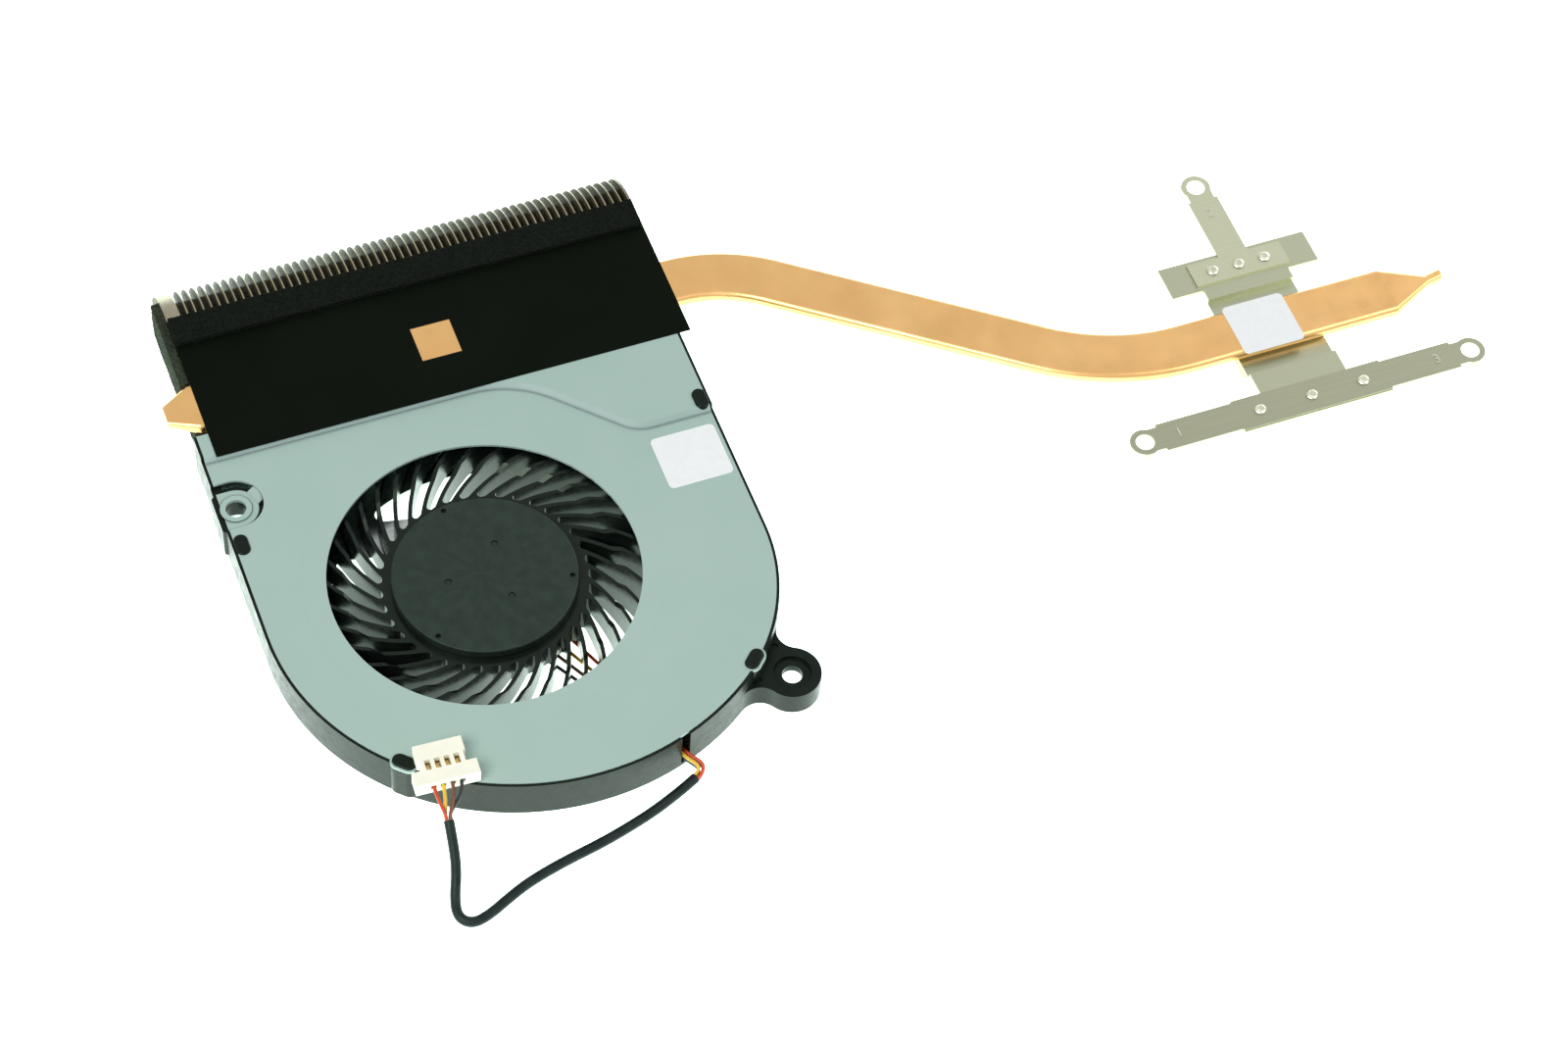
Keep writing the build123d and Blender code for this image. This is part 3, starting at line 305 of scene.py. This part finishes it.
# %% Creases
crease_shade, gin, gout = new_group(
    "Crease Shade",
    [("Reach", 0.0006), ("Full", 0.84)],
    [("Hollow", "NodeSocketFloat")],
)
# Ambient occlusion within a short reach marks hollow corners, where the materials paint shade.
closed = crease_shade.nodes.new("ShaderNodeAmbientOcclusion")
closed.only_local = True
closed.samples = 12
spread = ramp(crease_shade, 0.985, 1.0)
wire(
    crease_shade,
    (gin.outputs["Reach"], closed.inputs["Distance"]),
    (closed.outputs["AO"], spread.inputs["Value"]),
    (gin.outputs["Full"], spread.inputs["From Max"]),
    (spread.outputs["Result"], gout.inputs["Hollow"]),
)
print("groups", [group.name for group in bpy.data.node_groups])

# %% [markdown]
# ## Materials
# A surface is two colours mixed by patches, a roughness that varies, and a fine grain. One helper
# builds that, and the metals and plastics below differ by their numbers.

# %% Material helpers
# A Mix node has sockets for numbers and for colours, told apart by their places.
FACTOR, COLOUR_A, COLOUR_B, COLOUR_OUT = 0, 6, 7, 2
NUMBER_A, NUMBER_B, NUMBER_OUT = 2, 3, 0
ROUGH_PATCH = 2.7


def add_group(tree, group, **values):
    node = tree.nodes.new("ShaderNodeGroup")
    node.node_tree = group
    for label, value in values.items():
        node.inputs[label.replace("_", " ")].default_value = value
    return node


def colour_mix(tree, first=None, second=None):
    """A mix of two colours. An end that isn't given is left to be linked."""
    node = tree.nodes.new("ShaderNodeMix")
    node.data_type = "RGBA"
    for socket, colour in ((COLOUR_A, first), (COLOUR_B, second)):
        if colour is not None:
            node.inputs[socket].default_value = (*colour, 1)
    return node


def surface(name, light, dark, rough, metal=0.0, specular=0.5, patch=300.0, grain_size=4000.0,
            grain_depth=0.000004, grain_strength=0.4, stretch=None, tint=(1.0, 1.0, 1.0)):
    """A material with two mixed colours, varied roughness between two values and fine grain."""
    material = bpy.data.materials.new(name)
    material.use_nodes = True
    tree = material.node_tree
    shader = tree.nodes["Principled BSDF"]
    shader.inputs["Metallic"].default_value = metal
    shader.inputs["Specular IOR Level"].default_value = specular
    shader.inputs["Specular Tint"].default_value = (*tint, 1)
    low, high = rough
    if stretch is None:
        colour_mask = add_group(tree, patches, Size_per_Metre=patch)
        rough_mask = add_group(tree, patches, Size_per_Metre=patch * ROUGH_PATCH, Low=low, High=high)
    else:
        colour_mask = add_group(tree, brushing, Stretch=stretch)
        rough_mask = add_group(tree, brushing, Stretch=stretch, Low=low, High=high)
    mix = colour_mix(tree, light, dark)
    texture = add_group(tree, grain, Size_per_Metre=grain_size, Depth=grain_depth, Strength=grain_strength)
    wire(
        tree,
        (colour_mask.outputs["Value"], mix.inputs[FACTOR]),
        (mix.outputs[COLOUR_OUT], shader.inputs["Base Color"]),
        (rough_mask.outputs["Value"], shader.inputs["Roughness"]),
        (texture.outputs["Normal"], shader.inputs["Normal"]),
    )
    return material, tree, shader, mix


# %% Plastics, films and paper
def plain(name, light, dark, rough, **values):
    """A surface that needs nothing more, as its material alone."""
    return surface(name, light, dark, rough, **values)[0]


housing_black = plain(
    "housing_black", (0.004, 0.007, 0.005), (0.007, 0.010, 0.008), (0.22, 0.36), specular=0.16,
    patch=250.0, grain_size=5000.0, grain_depth=0.0000008, tint=(0.78, 1.0, 0.84))
film_black = plain(
    "film_black", (0.0016, 0.0032, 0.0014), (0.0026, 0.0046, 0.0024), (0.5, 0.62), specular=0.04,
    patch=60.0, grain_size=2500.0, grain_depth=0.000002)
label_white = plain("label_white", (0.79, 0.82, 0.82), (0.76, 0.79, 0.79), (0.45, 0.6), patch=900.0)
plug_white = plain("plug_white", (0.88, 0.88, 0.75), (0.84, 0.83, 0.69), (0.3, 0.45), patch=600.0)
sleeve_black = plain(
    "sleeve_black", (0.005, 0.009, 0.009), (0.014, 0.021, 0.020), (0.35, 0.55), specular=0.18,
    patch=500.0, grain_size=2200.0, grain_depth=0.00003, tint=(0.8, 1.0, 0.95))
pad_plastic = plain("pad_plastic", (0.6, 0.58, 0.5), (0.55, 0.53, 0.45), (0.3, 0.5))
board_green = plain("board_green", (0.03, 0.16, 0.07), (0.02, 0.11, 0.05), (0.3, 0.45), patch=900.0)
wire_colours = {
    "wire_red": ((0.55, 0.06, 0.01), (0.45, 0.04, 0.01)),
    "wire_yellow": ((0.75, 0.52, 0.05), (0.68, 0.44, 0.04)),
    "wire_brown": ((0.16, 0.06, 0.02), (0.12, 0.045, 0.015)),
    "wire_black": ((0.008, 0.009, 0.008), (0.015, 0.016, 0.015)),
}
wire_materials = {
    name: plain(name, light, dark, (0.3, 0.45), patch=700.0) for name, (light, dark) in wire_colours.items()
}
print("plastics", len(bpy.data.materials))


# %% Metals
def nickel(name, light, dark):
    return plain(
        name, light, dark, (0.28, 0.34), metal=1.0, stretch=(90.0, 2500.0, 2500.0), grain_depth=0.000002)


copper = plain(
    "copper", (0.86, 0.53, 0.22), (0.78, 0.46, 0.18), (0.26, 0.36), metal=1.0, patch=110.0,
    grain_size=1800.0, grain_depth=0.000006)
# Painted light and shade: one nickel plating in three copies, lightest on the upper arm, middle on the
# plate, darkest on the lower arm.
bracket_nickel = nickel("bracket_nickel", (0.58, 0.60, 0.43), (0.54, 0.56, 0.40))
nickel_half_shaded = nickel("nickel_half_shaded", (0.48, 0.50, 0.36), (0.45, 0.47, 0.33))
nickel_shaded = nickel("nickel_shaded", (0.41, 0.42, 0.30), (0.37, 0.38, 0.27))
base_sheet = plain(
    "base_sheet", (0.50, 0.56, 0.54), (0.44, 0.50, 0.48), (0.16, 0.24), metal=1.0,
    stretch=(70.0, 2800.0, 2800.0))
rivet_bright = plain("rivet_bright", (0.70, 0.70, 0.56), (0.62, 0.62, 0.48), (0.2, 0.32), metal=1.0)
motor_steel = plain("motor_steel", (0.55, 0.55, 0.53), (0.47, 0.47, 0.45), (0.25, 0.4), metal=1.0)
magnet_black = plain("magnet_black", (0.04, 0.04, 0.04), (0.06, 0.06, 0.06), (0.5, 0.7))
bearing_bronze = plain("bearing_bronze", (0.62, 0.40, 0.18), (0.5, 0.31, 0.13), (0.3, 0.5), metal=1.0)
contact_gold = plain("contact_gold", (0.83, 0.60, 0.24), (0.74, 0.5, 0.18), (0.2, 0.35), metal=1.0)
print("materials", len(bpy.data.materials))

# %% [markdown]
# ## Coated cover sheet
# The grey sheet is painted darker in the hollow at the foot of each fold, as painted shade. The tilted face
# of the pressed step is painted a little darker and bluer than the flat sheet, as painted shade.

# %% Coated cover sheet
cover_grey, tree, shader, mix = surface(
    "cover_grey", (0.345, 0.475, 0.428), (0.33, 0.46, 0.41), (0.42, 0.5),
    patch=90.0, grain_size=9000.0, grain_depth=0.000003)
# Painted shade: the hollow at the foot of each fold is painted dark grey-blue, found by ambient occlusion.
bend_shade_mask = add_group(tree, crease_shade)
painted_bend_shade = colour_mix(tree, second=(0.10, 0.14, 0.14))
coords = tree.nodes.new("ShaderNodeTexCoord")
parts = tree.nodes.new("ShaderNodeSeparateXYZ")
# Painted shade: faces tilted away from flat, the pressed step's riser, are painted darker and bluer.
slope_shade_mask = ramp(tree, 0.99, 0.85)
painted_slope_shade = colour_mix(tree, second=(0.31, 0.42, 0.395))
wire(
    tree,
    (coords.outputs["Normal"], parts.inputs[0]),
    (parts.outputs["Z"], slope_shade_mask.inputs["Value"]),
    (slope_shade_mask.outputs["Result"], painted_slope_shade.inputs[FACTOR]),
    (mix.outputs[COLOUR_OUT], painted_slope_shade.inputs[COLOUR_A]),
    (bend_shade_mask.outputs["Hollow"], painted_bend_shade.inputs[FACTOR]),
    (painted_slope_shade.outputs[COLOUR_OUT], painted_bend_shade.inputs[COLOUR_A]),
    (painted_bend_shade.outputs[COLOUR_OUT], shader.inputs["Base Color"]),
)
print("cover nodes", len(tree.nodes))

# %% [markdown]
# ## Fin material
# The cut edges of the fins are bright. Their faces are painted dark brown and matt, as painted shade between
# the close fins.

# %% Fin material
fin_metal, tree, shader, mix = surface(
    "fin_metal", (0.40, 0.37, 0.27), (0.31, 0.28, 0.20), (0.3, 0.42), metal=1.0,
    stretch=(3000.0, 80.0, 3000.0))
coords = tree.nodes.new("ShaderNodeTexCoord")
parts = tree.nodes.new("ShaderNodeSeparateXYZ")
facing = tree.nodes.new("ShaderNodeMath")
facing.operation = "ABSOLUTE"
# Painted shade: faces that look along X, between close fins, turn dark brown and lose metal and gloss;
# streaks vary that shade.
fin_face_shade_mask = ramp(tree, 0.6, 0.8)
face_shade_streaks = add_group(tree, brushing, Stretch=(900.0, 120.0, 700.0))
painted_face_shade = colour_mix(tree, (0.095, 0.081, 0.042), (0.060, 0.050, 0.025))
face_colour = colour_mix(tree)
face_metal = ramp(tree, 0.0, 1.0, start=1.0, end=0.0)
face_gloss = ramp(tree, 0.0, 1.0, start=0.5, end=0.03)
wire(
    tree,
    (coords.outputs["Normal"], parts.inputs[0]),
    (parts.outputs["X"], facing.inputs[0]),
    (facing.outputs[0], fin_face_shade_mask.inputs["Value"]),
    (face_shade_streaks.outputs["Value"], painted_face_shade.inputs[FACTOR]),
    (fin_face_shade_mask.outputs["Result"], face_colour.inputs[FACTOR]),
    (mix.outputs[COLOUR_OUT], face_colour.inputs[COLOUR_A]),
    (painted_face_shade.outputs[COLOUR_OUT], face_colour.inputs[COLOUR_B]),
    (face_colour.outputs[COLOUR_OUT], shader.inputs["Base Color"]),
    (fin_face_shade_mask.outputs["Result"], face_metal.inputs["Value"]),
    (face_metal.outputs["Result"], shader.inputs["Metallic"]),
    (fin_face_shade_mask.outputs["Result"], face_gloss.inputs["Value"]),
    (face_gloss.outputs["Result"], shader.inputs["Specular IOR Level"]),
)
print("fin nodes", len(tree.nodes))

# %% [markdown]
# ## Impeller material
# The hub is satin with faint flow lines from its middle, and the blades are glossy. The distance from
# the rotor axis tells the two apart.

# %% Impeller material
HUB_R = 0.0134
HUB_BLUR = 0.00005
STREAK_PER_METRE = 320

impeller_black, tree, shader, mix = surface(
    "impeller_black", (0.003, 0.005, 0.004), (0.006, 0.009, 0.007), (0.16, 0.26), specular=0.25,
    patch=400.0, tint=(0.8, 1.0, 0.8))
coords = tree.nodes.new("ShaderNodeTexCoord")
centred = vector_step(tree, "SUBTRACT", rotor_axis)
flat = vector_step(tree, "MULTIPLY", (1, 1, 0))
radius = vector_step(tree, "LENGTH")
hub_mask = ramp(tree, HUB_R - HUB_BLUR, HUB_R + HUB_BLUR, start=1.0, end=0.0)
hub_rough = add_group(tree, patches, Size_per_Metre=900.0, Low=0.45, High=0.6)
direction = vector_step(tree, "NORMALIZE")
bent = vector_step(tree, "MULTIPLY_ADD", (STREAK_PER_METRE, STREAK_PER_METRE, 0))
streaks = tree.nodes.new("ShaderNodeTexNoise")
streaks.inputs["Scale"].default_value = 1.3
streaks.inputs["Detail"].default_value = 6.0
hub_tint = ramp(tree, 0.35, 0.65)
# Painted shade: the holes and dimples of the hub are painted near black, found by ambient occlusion.
pits = add_group(tree, crease_shade, Full=0.7)
pit_painted_shade = colour_mix(tree, second=(0.001, 0.002, 0.001))
hub_colour = colour_mix(tree, (0.012, 0.021, 0.016), (0.020, 0.031, 0.026))
colour_choice = colour_mix(tree)
rough_choice = tree.nodes.new("ShaderNodeMix")
rough_source = shader.inputs["Roughness"].links[0].from_socket
wire(
    tree,
    (coords.outputs["Object"], centred.inputs[0]),
    (centred.outputs[0], flat.inputs[0]),
    (flat.outputs[0], radius.inputs[0]),
    (radius.outputs["Value"], hub_mask.inputs["Value"]),
    (flat.outputs[0], direction.inputs[0]),
    (flat.outputs[0], bent.inputs[0]),
    (direction.outputs[0], bent.inputs[2]),
    (bent.outputs[0], streaks.inputs["Vector"]),
    (streaks.outputs["Fac"], hub_tint.inputs["Value"]),
    (hub_tint.outputs["Result"], hub_colour.inputs[FACTOR]),
    (pits.outputs["Hollow"], pit_painted_shade.inputs[FACTOR]),
    (hub_colour.outputs[COLOUR_OUT], pit_painted_shade.inputs[COLOUR_A]),
    (hub_mask.outputs["Result"], colour_choice.inputs[FACTOR]),
    (mix.outputs[COLOUR_OUT], colour_choice.inputs[COLOUR_A]),
    (pit_painted_shade.outputs[COLOUR_OUT], colour_choice.inputs[COLOUR_B]),
    (colour_choice.outputs[COLOUR_OUT], shader.inputs["Base Color"]),
    (hub_mask.outputs["Result"], rough_choice.inputs[FACTOR]),
    (rough_source, rough_choice.inputs[NUMBER_A]),
    (hub_rough.outputs["Value"], rough_choice.inputs[NUMBER_B]),
    (rough_choice.outputs[NUMBER_OUT], shader.inputs["Roughness"]),
)
print("impeller nodes", len(tree.nodes))

# %% [markdown]
# ## Foam material
# Open cells darken the foam and roughen its light.

# %% Foam material
def foam(name, light, dark):
    material, tree, shader, mix = surface(name, light, dark, (0.8, 0.95), specular=0.06, patch=1600.0)
    cell = add_group(tree, pores, Size_per_Metre=1900.0, Depth=0.00025, Strength=0.9)
    wire(tree, (cell.outputs["Mask"], mix.inputs[FACTOR]), (cell.outputs["Normal"], shader.inputs["Normal"]))
    return material


foam_black = foam("foam_black", (0.0025, 0.004, 0.0025), (0.007, 0.0095, 0.0068))
foam_grey = foam("foam_grey", (0.020, 0.026, 0.016), (0.040, 0.049, 0.034))
print("foams", foam_black.name, foam_grey.name)

# %% [markdown]
# ## Dress the CAD nodes
# Each node takes one material, and pieces of one stock share theirs.

# %% Dress the CAD nodes
looks = {
    "fan_housing": housing_black, "fan_cover": cover_grey, "base_plate": base_sheet,
    "impeller": impeller_black, "rotor_yoke": motor_steel, "magnet_ring": magnet_black,
    "rotor_shaft": motor_steel, "bearing_post": bearing_bronze, "bearing_sleeve": bearing_bronze,
    "thrust_pad": pad_plastic, "motor_board": board_green, "stator_core": motor_steel,
    "stator_windings": copper, "fin_stack": fin_metal, "heat_pipe": copper, "cover_film": film_black,
    "end_film": film_black, "top_foam": foam_black, "side_foam": foam_grey, "bracket": nickel_half_shaded,
    "contact_block": copper, "upper_arm": bracket_nickel, "lower_arm": nickel_shaded,
    "arm_rivets": bracket_nickel, "fan_label": label_white, "pipe_label": label_white,
    "plug_housing": plug_white, "plug_contacts": contact_gold, "lead_sleeve": sleeve_black,
    **wire_materials,
}
for name, material in looks.items():
    body = nodes[name]
    body.data.materials.clear()
    body.data.materials.append(material)
print("dressed", len(looks))

# %% [markdown]
# ## Foam strips
# A strip of foam is cut with a blade and pressed on by hand. Each one is a fine remesh of its solid
# with pits between the cells and a gentle waviness, always inside the solid.

# %% Foam strips
FOAM_VOXEL = 0.00016
FOAM_CELL = 0.00055
FOAM_PIT = 0.00011
PIT_SHARE = 0.55
WAVES_PER_METRE = 250
WELD = 1e-6


def foam_piece(node):
    source = bpy.data.objects.new(node + "_source", nodes[node].data.copy())
    bpy.context.collection.objects.link(source)
    shape = bmesh.new()
    shape.from_mesh(source.data)
    bmesh.ops.remove_doubles(shape, verts=shape.verts, dist=WELD)
    shape.to_mesh(source.data)
    shape.free()
    remesh = source.modifiers.new("cells", "REMESH")
    remesh.mode = "VOXEL"
    remesh.voxel_size = FOAM_VOXEL
    fine = bpy.data.meshes.new_from_object(source.evaluated_get(bpy.context.evaluated_depsgraph_get()))
    bpy.data.objects.remove(source)
    normals = [v.normal.copy() for v in fine.vertices]
    for vertex, normal in zip(fine.vertices, normals):
        distances, _ = noise.voronoi(vertex.co / FOAM_CELL)
        pit = max(0.0, 1.0 - distances[0] / PIT_SHARE)
        wave = 0.5 + 0.5 * noise.noise(vertex.co * WAVES_PER_METRE)
        vertex.co -= normal * (pit + wave) * FOAM_PIT
    fine.materials.clear()
    fine.materials.append(looks[node])
    piece = bpy.data.objects.new(node + "_strip", fine)
    bpy.context.collection.objects.link(piece)
    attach(piece, "root")
    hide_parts(node)
    return piece


strips = [foam_piece("top_foam"), foam_piece("side_foam")]
print("foam faces", [len(strip.data.polygons) for strip in strips])

# %% [markdown]
# ## Rivets
# Six flat rivets hold the spring arms. One turned shape is set on the six places by Geometry Nodes.

# %% Rivet shape
RIVET_SIDES = 28
ARM_TOP = 1.05


def turned(name, profile, sides):
    """A closed shape of revolution about Z from a list of radius and height in millimetres."""
    shape = bmesh.new()
    rings = []
    for radius_mm, height in profile:
        if radius_mm == 0:
            rings.append([shape.verts.new((0, 0, height * MM))])
            continue
        turns = [math.tau * i / sides for i in range(sides)]
        ring = [Vector((radius_mm * math.cos(a), radius_mm * math.sin(a), height)) for a in turns]
        rings.append([shape.verts.new(place * MM) for place in ring])
    for low, high in zip(rings, rings[1:]):
        for i in range(sides):
            j = (i + 1) % sides
            corners = [low[i % len(low)], low[j % len(low)], high[j % len(high)], high[i % len(high)]]
            shape.faces.new(list(dict.fromkeys(corners)))
    bmesh.ops.recalc_face_normals(shape, faces=shape.faces)
    mesh = bpy.data.meshes.new(name)
    shape.to_mesh(mesh)
    shape.free()
    return bpy.data.objects.new(name, mesh)


rivet_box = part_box("arm_rivets")
rivet_base = rivet_box[0][2]
rivet_shape = turned("rivet_shape", [
    (0, 0.04), (0.55, 0.02), (0.9, 0.0), (0.95, 0.06), (0.95, 0.2), (0.5, 0.2),
    (0.5, ARM_TOP), (0.93, ARM_TOP), (0.95, 1.1), (0.9, 1.18), (0.78, 1.28), (0.66, 1.34),
    (0.56, 1.36), (0.5, 1.345), (0, 1.34)], RIVET_SIDES)
bpy.context.collection.objects.link(rivet_shape)
print("rivet shape faces", len(rivet_shape.data.polygons))

# %% Rivet places
BRACKET_X = 126.2
UPPER_ARM_Y = 16.95
LOWER_ARM_Y = -9.45
RIVET_ROWS = ((4.3, UPPER_ARM_Y), (8.5, LOWER_ARM_Y))

rivet_places = bpy.data.meshes.new("rivet_places")
rivet_places.from_pydata(
    [Vector((*at(BRACKET_X + step * pitch, row, 0).xy, rivet_base))
     for pitch, row in RIVET_ROWS for step in (-1, 0, 1)], [], [])
rivets = bpy.data.objects.new("rivets", rivet_places)
bpy.context.collection.objects.link(rivets)
print("rivet places", len(rivet_places.vertices))

# %% Rivet setter
setter = bpy.data.node_groups.new("Set Rivets", "GeometryNodeTree")
setter.interface.new_socket("Geometry", in_out="INPUT", socket_type="NodeSocketGeometry")
setter.interface.new_socket("Rivet", in_out="INPUT", socket_type="NodeSocketObject")
setter.interface.new_socket("Metal", in_out="INPUT", socket_type="NodeSocketMaterial")
setter.interface.new_socket("Seed", in_out="INPUT", socket_type="NodeSocketInt")
setter.interface.new_socket("Geometry", in_out="OUTPUT", socket_type="NodeSocketGeometry")
gin = setter.nodes.new("NodeGroupInput")
gout = setter.nodes.new("NodeGroupOutput")
info = setter.nodes.new("GeometryNodeObjectInfo")
spin = setter.nodes.new("FunctionNodeRandomValue")
spin.data_type = "FLOAT_VECTOR"
spin.inputs["Min"].default_value = (0, 0, 0)
spin.inputs["Max"].default_value = (0, 0, math.tau)
place = setter.nodes.new("GeometryNodeInstanceOnPoints")
real = setter.nodes.new("GeometryNodeRealizeInstances")
metal = setter.nodes.new("GeometryNodeSetMaterial")
wire(
    setter,
    (gin.outputs["Rivet"], info.inputs["Object"]),
    (gin.outputs["Seed"], spin.inputs["Seed"]),
    (gin.outputs["Geometry"], place.inputs["Points"]),
    (info.outputs["Geometry"], place.inputs["Instance"]),
    (spin.outputs["Value"], place.inputs["Rotation"]),
    (place.outputs["Instances"], real.inputs[0]),
    (real.outputs[0], metal.inputs["Geometry"]),
    (gin.outputs["Metal"], metal.inputs["Material"]),
    (metal.outputs["Geometry"], gout.inputs["Geometry"]),
)
print("setter nodes", len(setter.nodes))

# %% Rivets
chosen = {"Rivet": rivet_shape, "Metal": rivet_bright, "Seed": 7}
modifier = rivets.modifiers.new("rivets", "NODES")
modifier.node_group = setter
for item in setter.interface.items_tree:
    if item.in_out == "INPUT" and item.name in chosen:
        modifier[item.identifier] = chosen[item.name]
rivets.update_tag()
rivet_mesh = bpy.data.meshes.new_from_object(rivets.evaluated_get(bpy.context.evaluated_depsgraph_get()))
rivets.modifiers.remove(modifier)
rivets.data = rivet_mesh
bpy.data.objects.remove(rivet_shape)
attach(rivets, "root")
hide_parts("arm_rivets")
print("rivet faces", len(rivet_mesh.polygons))

# %% [markdown]
# ## Stamped digits
# A plain digit is stamped beside each screw hole, as an order for the screws.

# %% Stamped digits
DIGIT_SCALE = 1.4
DIGIT_RAISE = 0.015
DIGIT_WELD = 1e-7


def stamped_digit(digit, x, y, height):
    text = bpy.data.curves.new("digit", "FONT")
    text.body = digit
    text.align_x = "CENTER"
    text.align_y = "CENTER"
    text.size = height * DIGIT_SCALE * MM
    text.extrude = DIGIT_RAISE * MM
    holder = bpy.data.objects.new("digit_text", text)
    bpy.context.collection.objects.link(holder)
    mesh = bpy.data.meshes.new_from_object(holder.evaluated_get(bpy.context.evaluated_depsgraph_get()))
    bpy.data.objects.remove(holder)
    shape = bmesh.new()
    shape.from_mesh(mesh)
    bmesh.ops.remove_doubles(shape, verts=shape.verts, dist=DIGIT_WELD)
    bmesh.ops.recalc_face_normals(shape, faces=shape.faces)
    shape.to_mesh(mesh)
    shape.free()
    mesh.transform(Matrix.Translation(Vector((*at(x, y, 0).xy, rivet_base + ARM_TOP * MM))))
    mesh.materials.clear()
    mesh.materials.append(rivet_bright)
    piece = bpy.data.objects.new("stamp_" + digit, mesh)
    bpy.context.collection.objects.link(piece)
    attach(piece, "root")
    return piece


stamps = [stamped_digit("1", 104.5, LOWER_ARM_Y, 1.7), stamped_digit("3", 147.0, LOWER_ARM_Y, 1.7),
          stamped_digit("2", BRACKET_X, 27.4, 1.6)]
print("stamps", [stamp.name for stamp in stamps])

# %% [markdown]
# ## The lead
# Four wires leave the motor board, pass the slot in the wall and run through a shrunk sleeve to the
# plug. Each is one smooth spline, with the route of its solid. Blender grows the box of a curve by the
# radius of its points, so that radius is one millimetre and the bevel counts in millimetres.

# %% Cord helpers
def cord_curve(name, points, radius, material):
    curve = bpy.data.curves.new(name, "CURVE")
    curve.dimensions = "3D"
    curve.bevel_depth = radius
    curve.bevel_resolution = 4
    curve.resolution_u = 8
    curve.use_fill_caps = True
    spline = curve.splines.new("NURBS")
    spline.points.add(len(points) - 1)
    for point, place in zip(spline.points, points):
        point.co = (*at(*place), 1.0)
        point.radius = MM
    spline.order_u = 3
    spline.use_endpoint_u = True
    curve.materials.append(material)
    cord_object = bpy.data.objects.new(name, curve)
    bpy.context.collection.objects.link(cord_object)
    return cord_object


def run_length(cord_object):
    """Length of the smooth line itself."""
    depth = cord_object.data.bevel_depth
    cord_object.data.bevel_depth = 0.0
    line = bpy.data.meshes.new_from_object(cord_object.evaluated_get(bpy.context.evaluated_depsgraph_get()))
    cord_object.data.bevel_depth = depth
    places = [vertex.co.copy() for vertex in line.vertices]
    length = sum((places[a] - places[b]).length for a, b in (edge.vertices for edge in line.edges))
    bpy.data.meshes.remove(line)
    return length


# %% Routes of the lead
sleeve_route = [
    (18.0, -38.65, 0.9), (12.8, -41.2, 0.8), (3.7, -43.95, 0.8), (-3.9, -45.4, 0.8), (-9.1, -46.8, 0.8),
    (-12.2, -48.1, 0.8), (-16.1, -50.0, 0.8), (-18.7, -50.5, 0.8), (-20.2, -48.9, 0.85), (-19.8, -46.4, 1.5),
    (-18.5, -43.4, 3.3), (-17.95, -40.5, 5.4), (-17.65, -37.6, 7.2),
]
wire_routes = {
    "wire_black": (
        [(2.6, -9.6, 0.68), (8.0, -18.0, 0.68), (15.16, -30.62, 0.68), (16.96, -34.03, 1.64),
         (17.55, -35.79, 1.64), (18.96, -37.46, 1.29), (18.6, -37.94, 0.66), (17.87, -38.37, 0.59)],
        [(-17.32, -37.47, 6.94), (-17.25, -36.71, 7.41), (-14.1, -34.11, 8.5), (-13.92, -30.71, 8.5)]),
    "wire_brown": (
        [(4.3, -9.0, 0.68), (9.2, -17.6, 0.68), (15.75, -30.42, 0.68), (17.54, -33.83, 1.64),
         (18.1, -35.48, 1.64), (19.78, -37.47, 1.29), (18.98, -38.44, 0.66), (18.15, -38.92, 0.59)],
        [(-17.36, -37.79, 7.46), (-17.28, -37.03, 7.94), (-15.47, -34.03, 8.5), (-15.3, -30.64, 8.5)]),
    "wire_yellow": (
        [(5.9, -8.1, 0.68), (10.5, -17.2, 0.68), (15.58, -27.95, 0.68), (16.96, -34.03, 2.26),
         (17.55, -35.79, 2.26), (19.02, -37.53, 1.91), (18.38, -38.18, 1.18), (17.85, -38.38, 1.21)],
        [(-17.94, -37.41, 6.94), (-17.86, -36.64, 7.41), (-16.85, -33.96, 8.5), (-16.67, -30.57, 8.5)]),
    "wire_red": (
        [(7.4, -6.8, 0.68), (11.9, -16.6, 0.68), (16.16, -27.75, 0.68), (17.54, -33.83, 2.26),
         (18.1, -35.48, 2.26), (19.84, -37.54, 1.91), (18.76, -38.68, 1.18), (18.13, -38.93, 1.21)],
        [(-17.98, -37.73, 7.46), (-17.9, -36.97, 7.94), (-18.23, -33.89, 8.5), (-18.05, -30.49, 8.5)]),
}
print("route points", len(sleeve_route), [len(first + last) for first, last in wire_routes.values()])

# %% The lead
SLEEVE_R = 0.75
WIRE_R = 0.27

sleeve = cord_curve("sleeve_cord", sleeve_route, SLEEVE_R, sleeve_black)
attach(sleeve, "root")
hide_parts("lead_sleeve")
lead_wires = []
for name, (first, last) in wire_routes.items():
    cord_object = cord_curve(name + "_cord", first + sleeve_route[1:-1] + last, WIRE_R, wire_materials[name])
    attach(cord_object, "root")
    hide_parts(name)
    lead_wires.append(cord_object)
for cord_object in lead_wires:
    run_length(cord_object)
run_length(sleeve)
print("lead", round(run_length(sleeve) / MM, 1), "mm of sleeve")
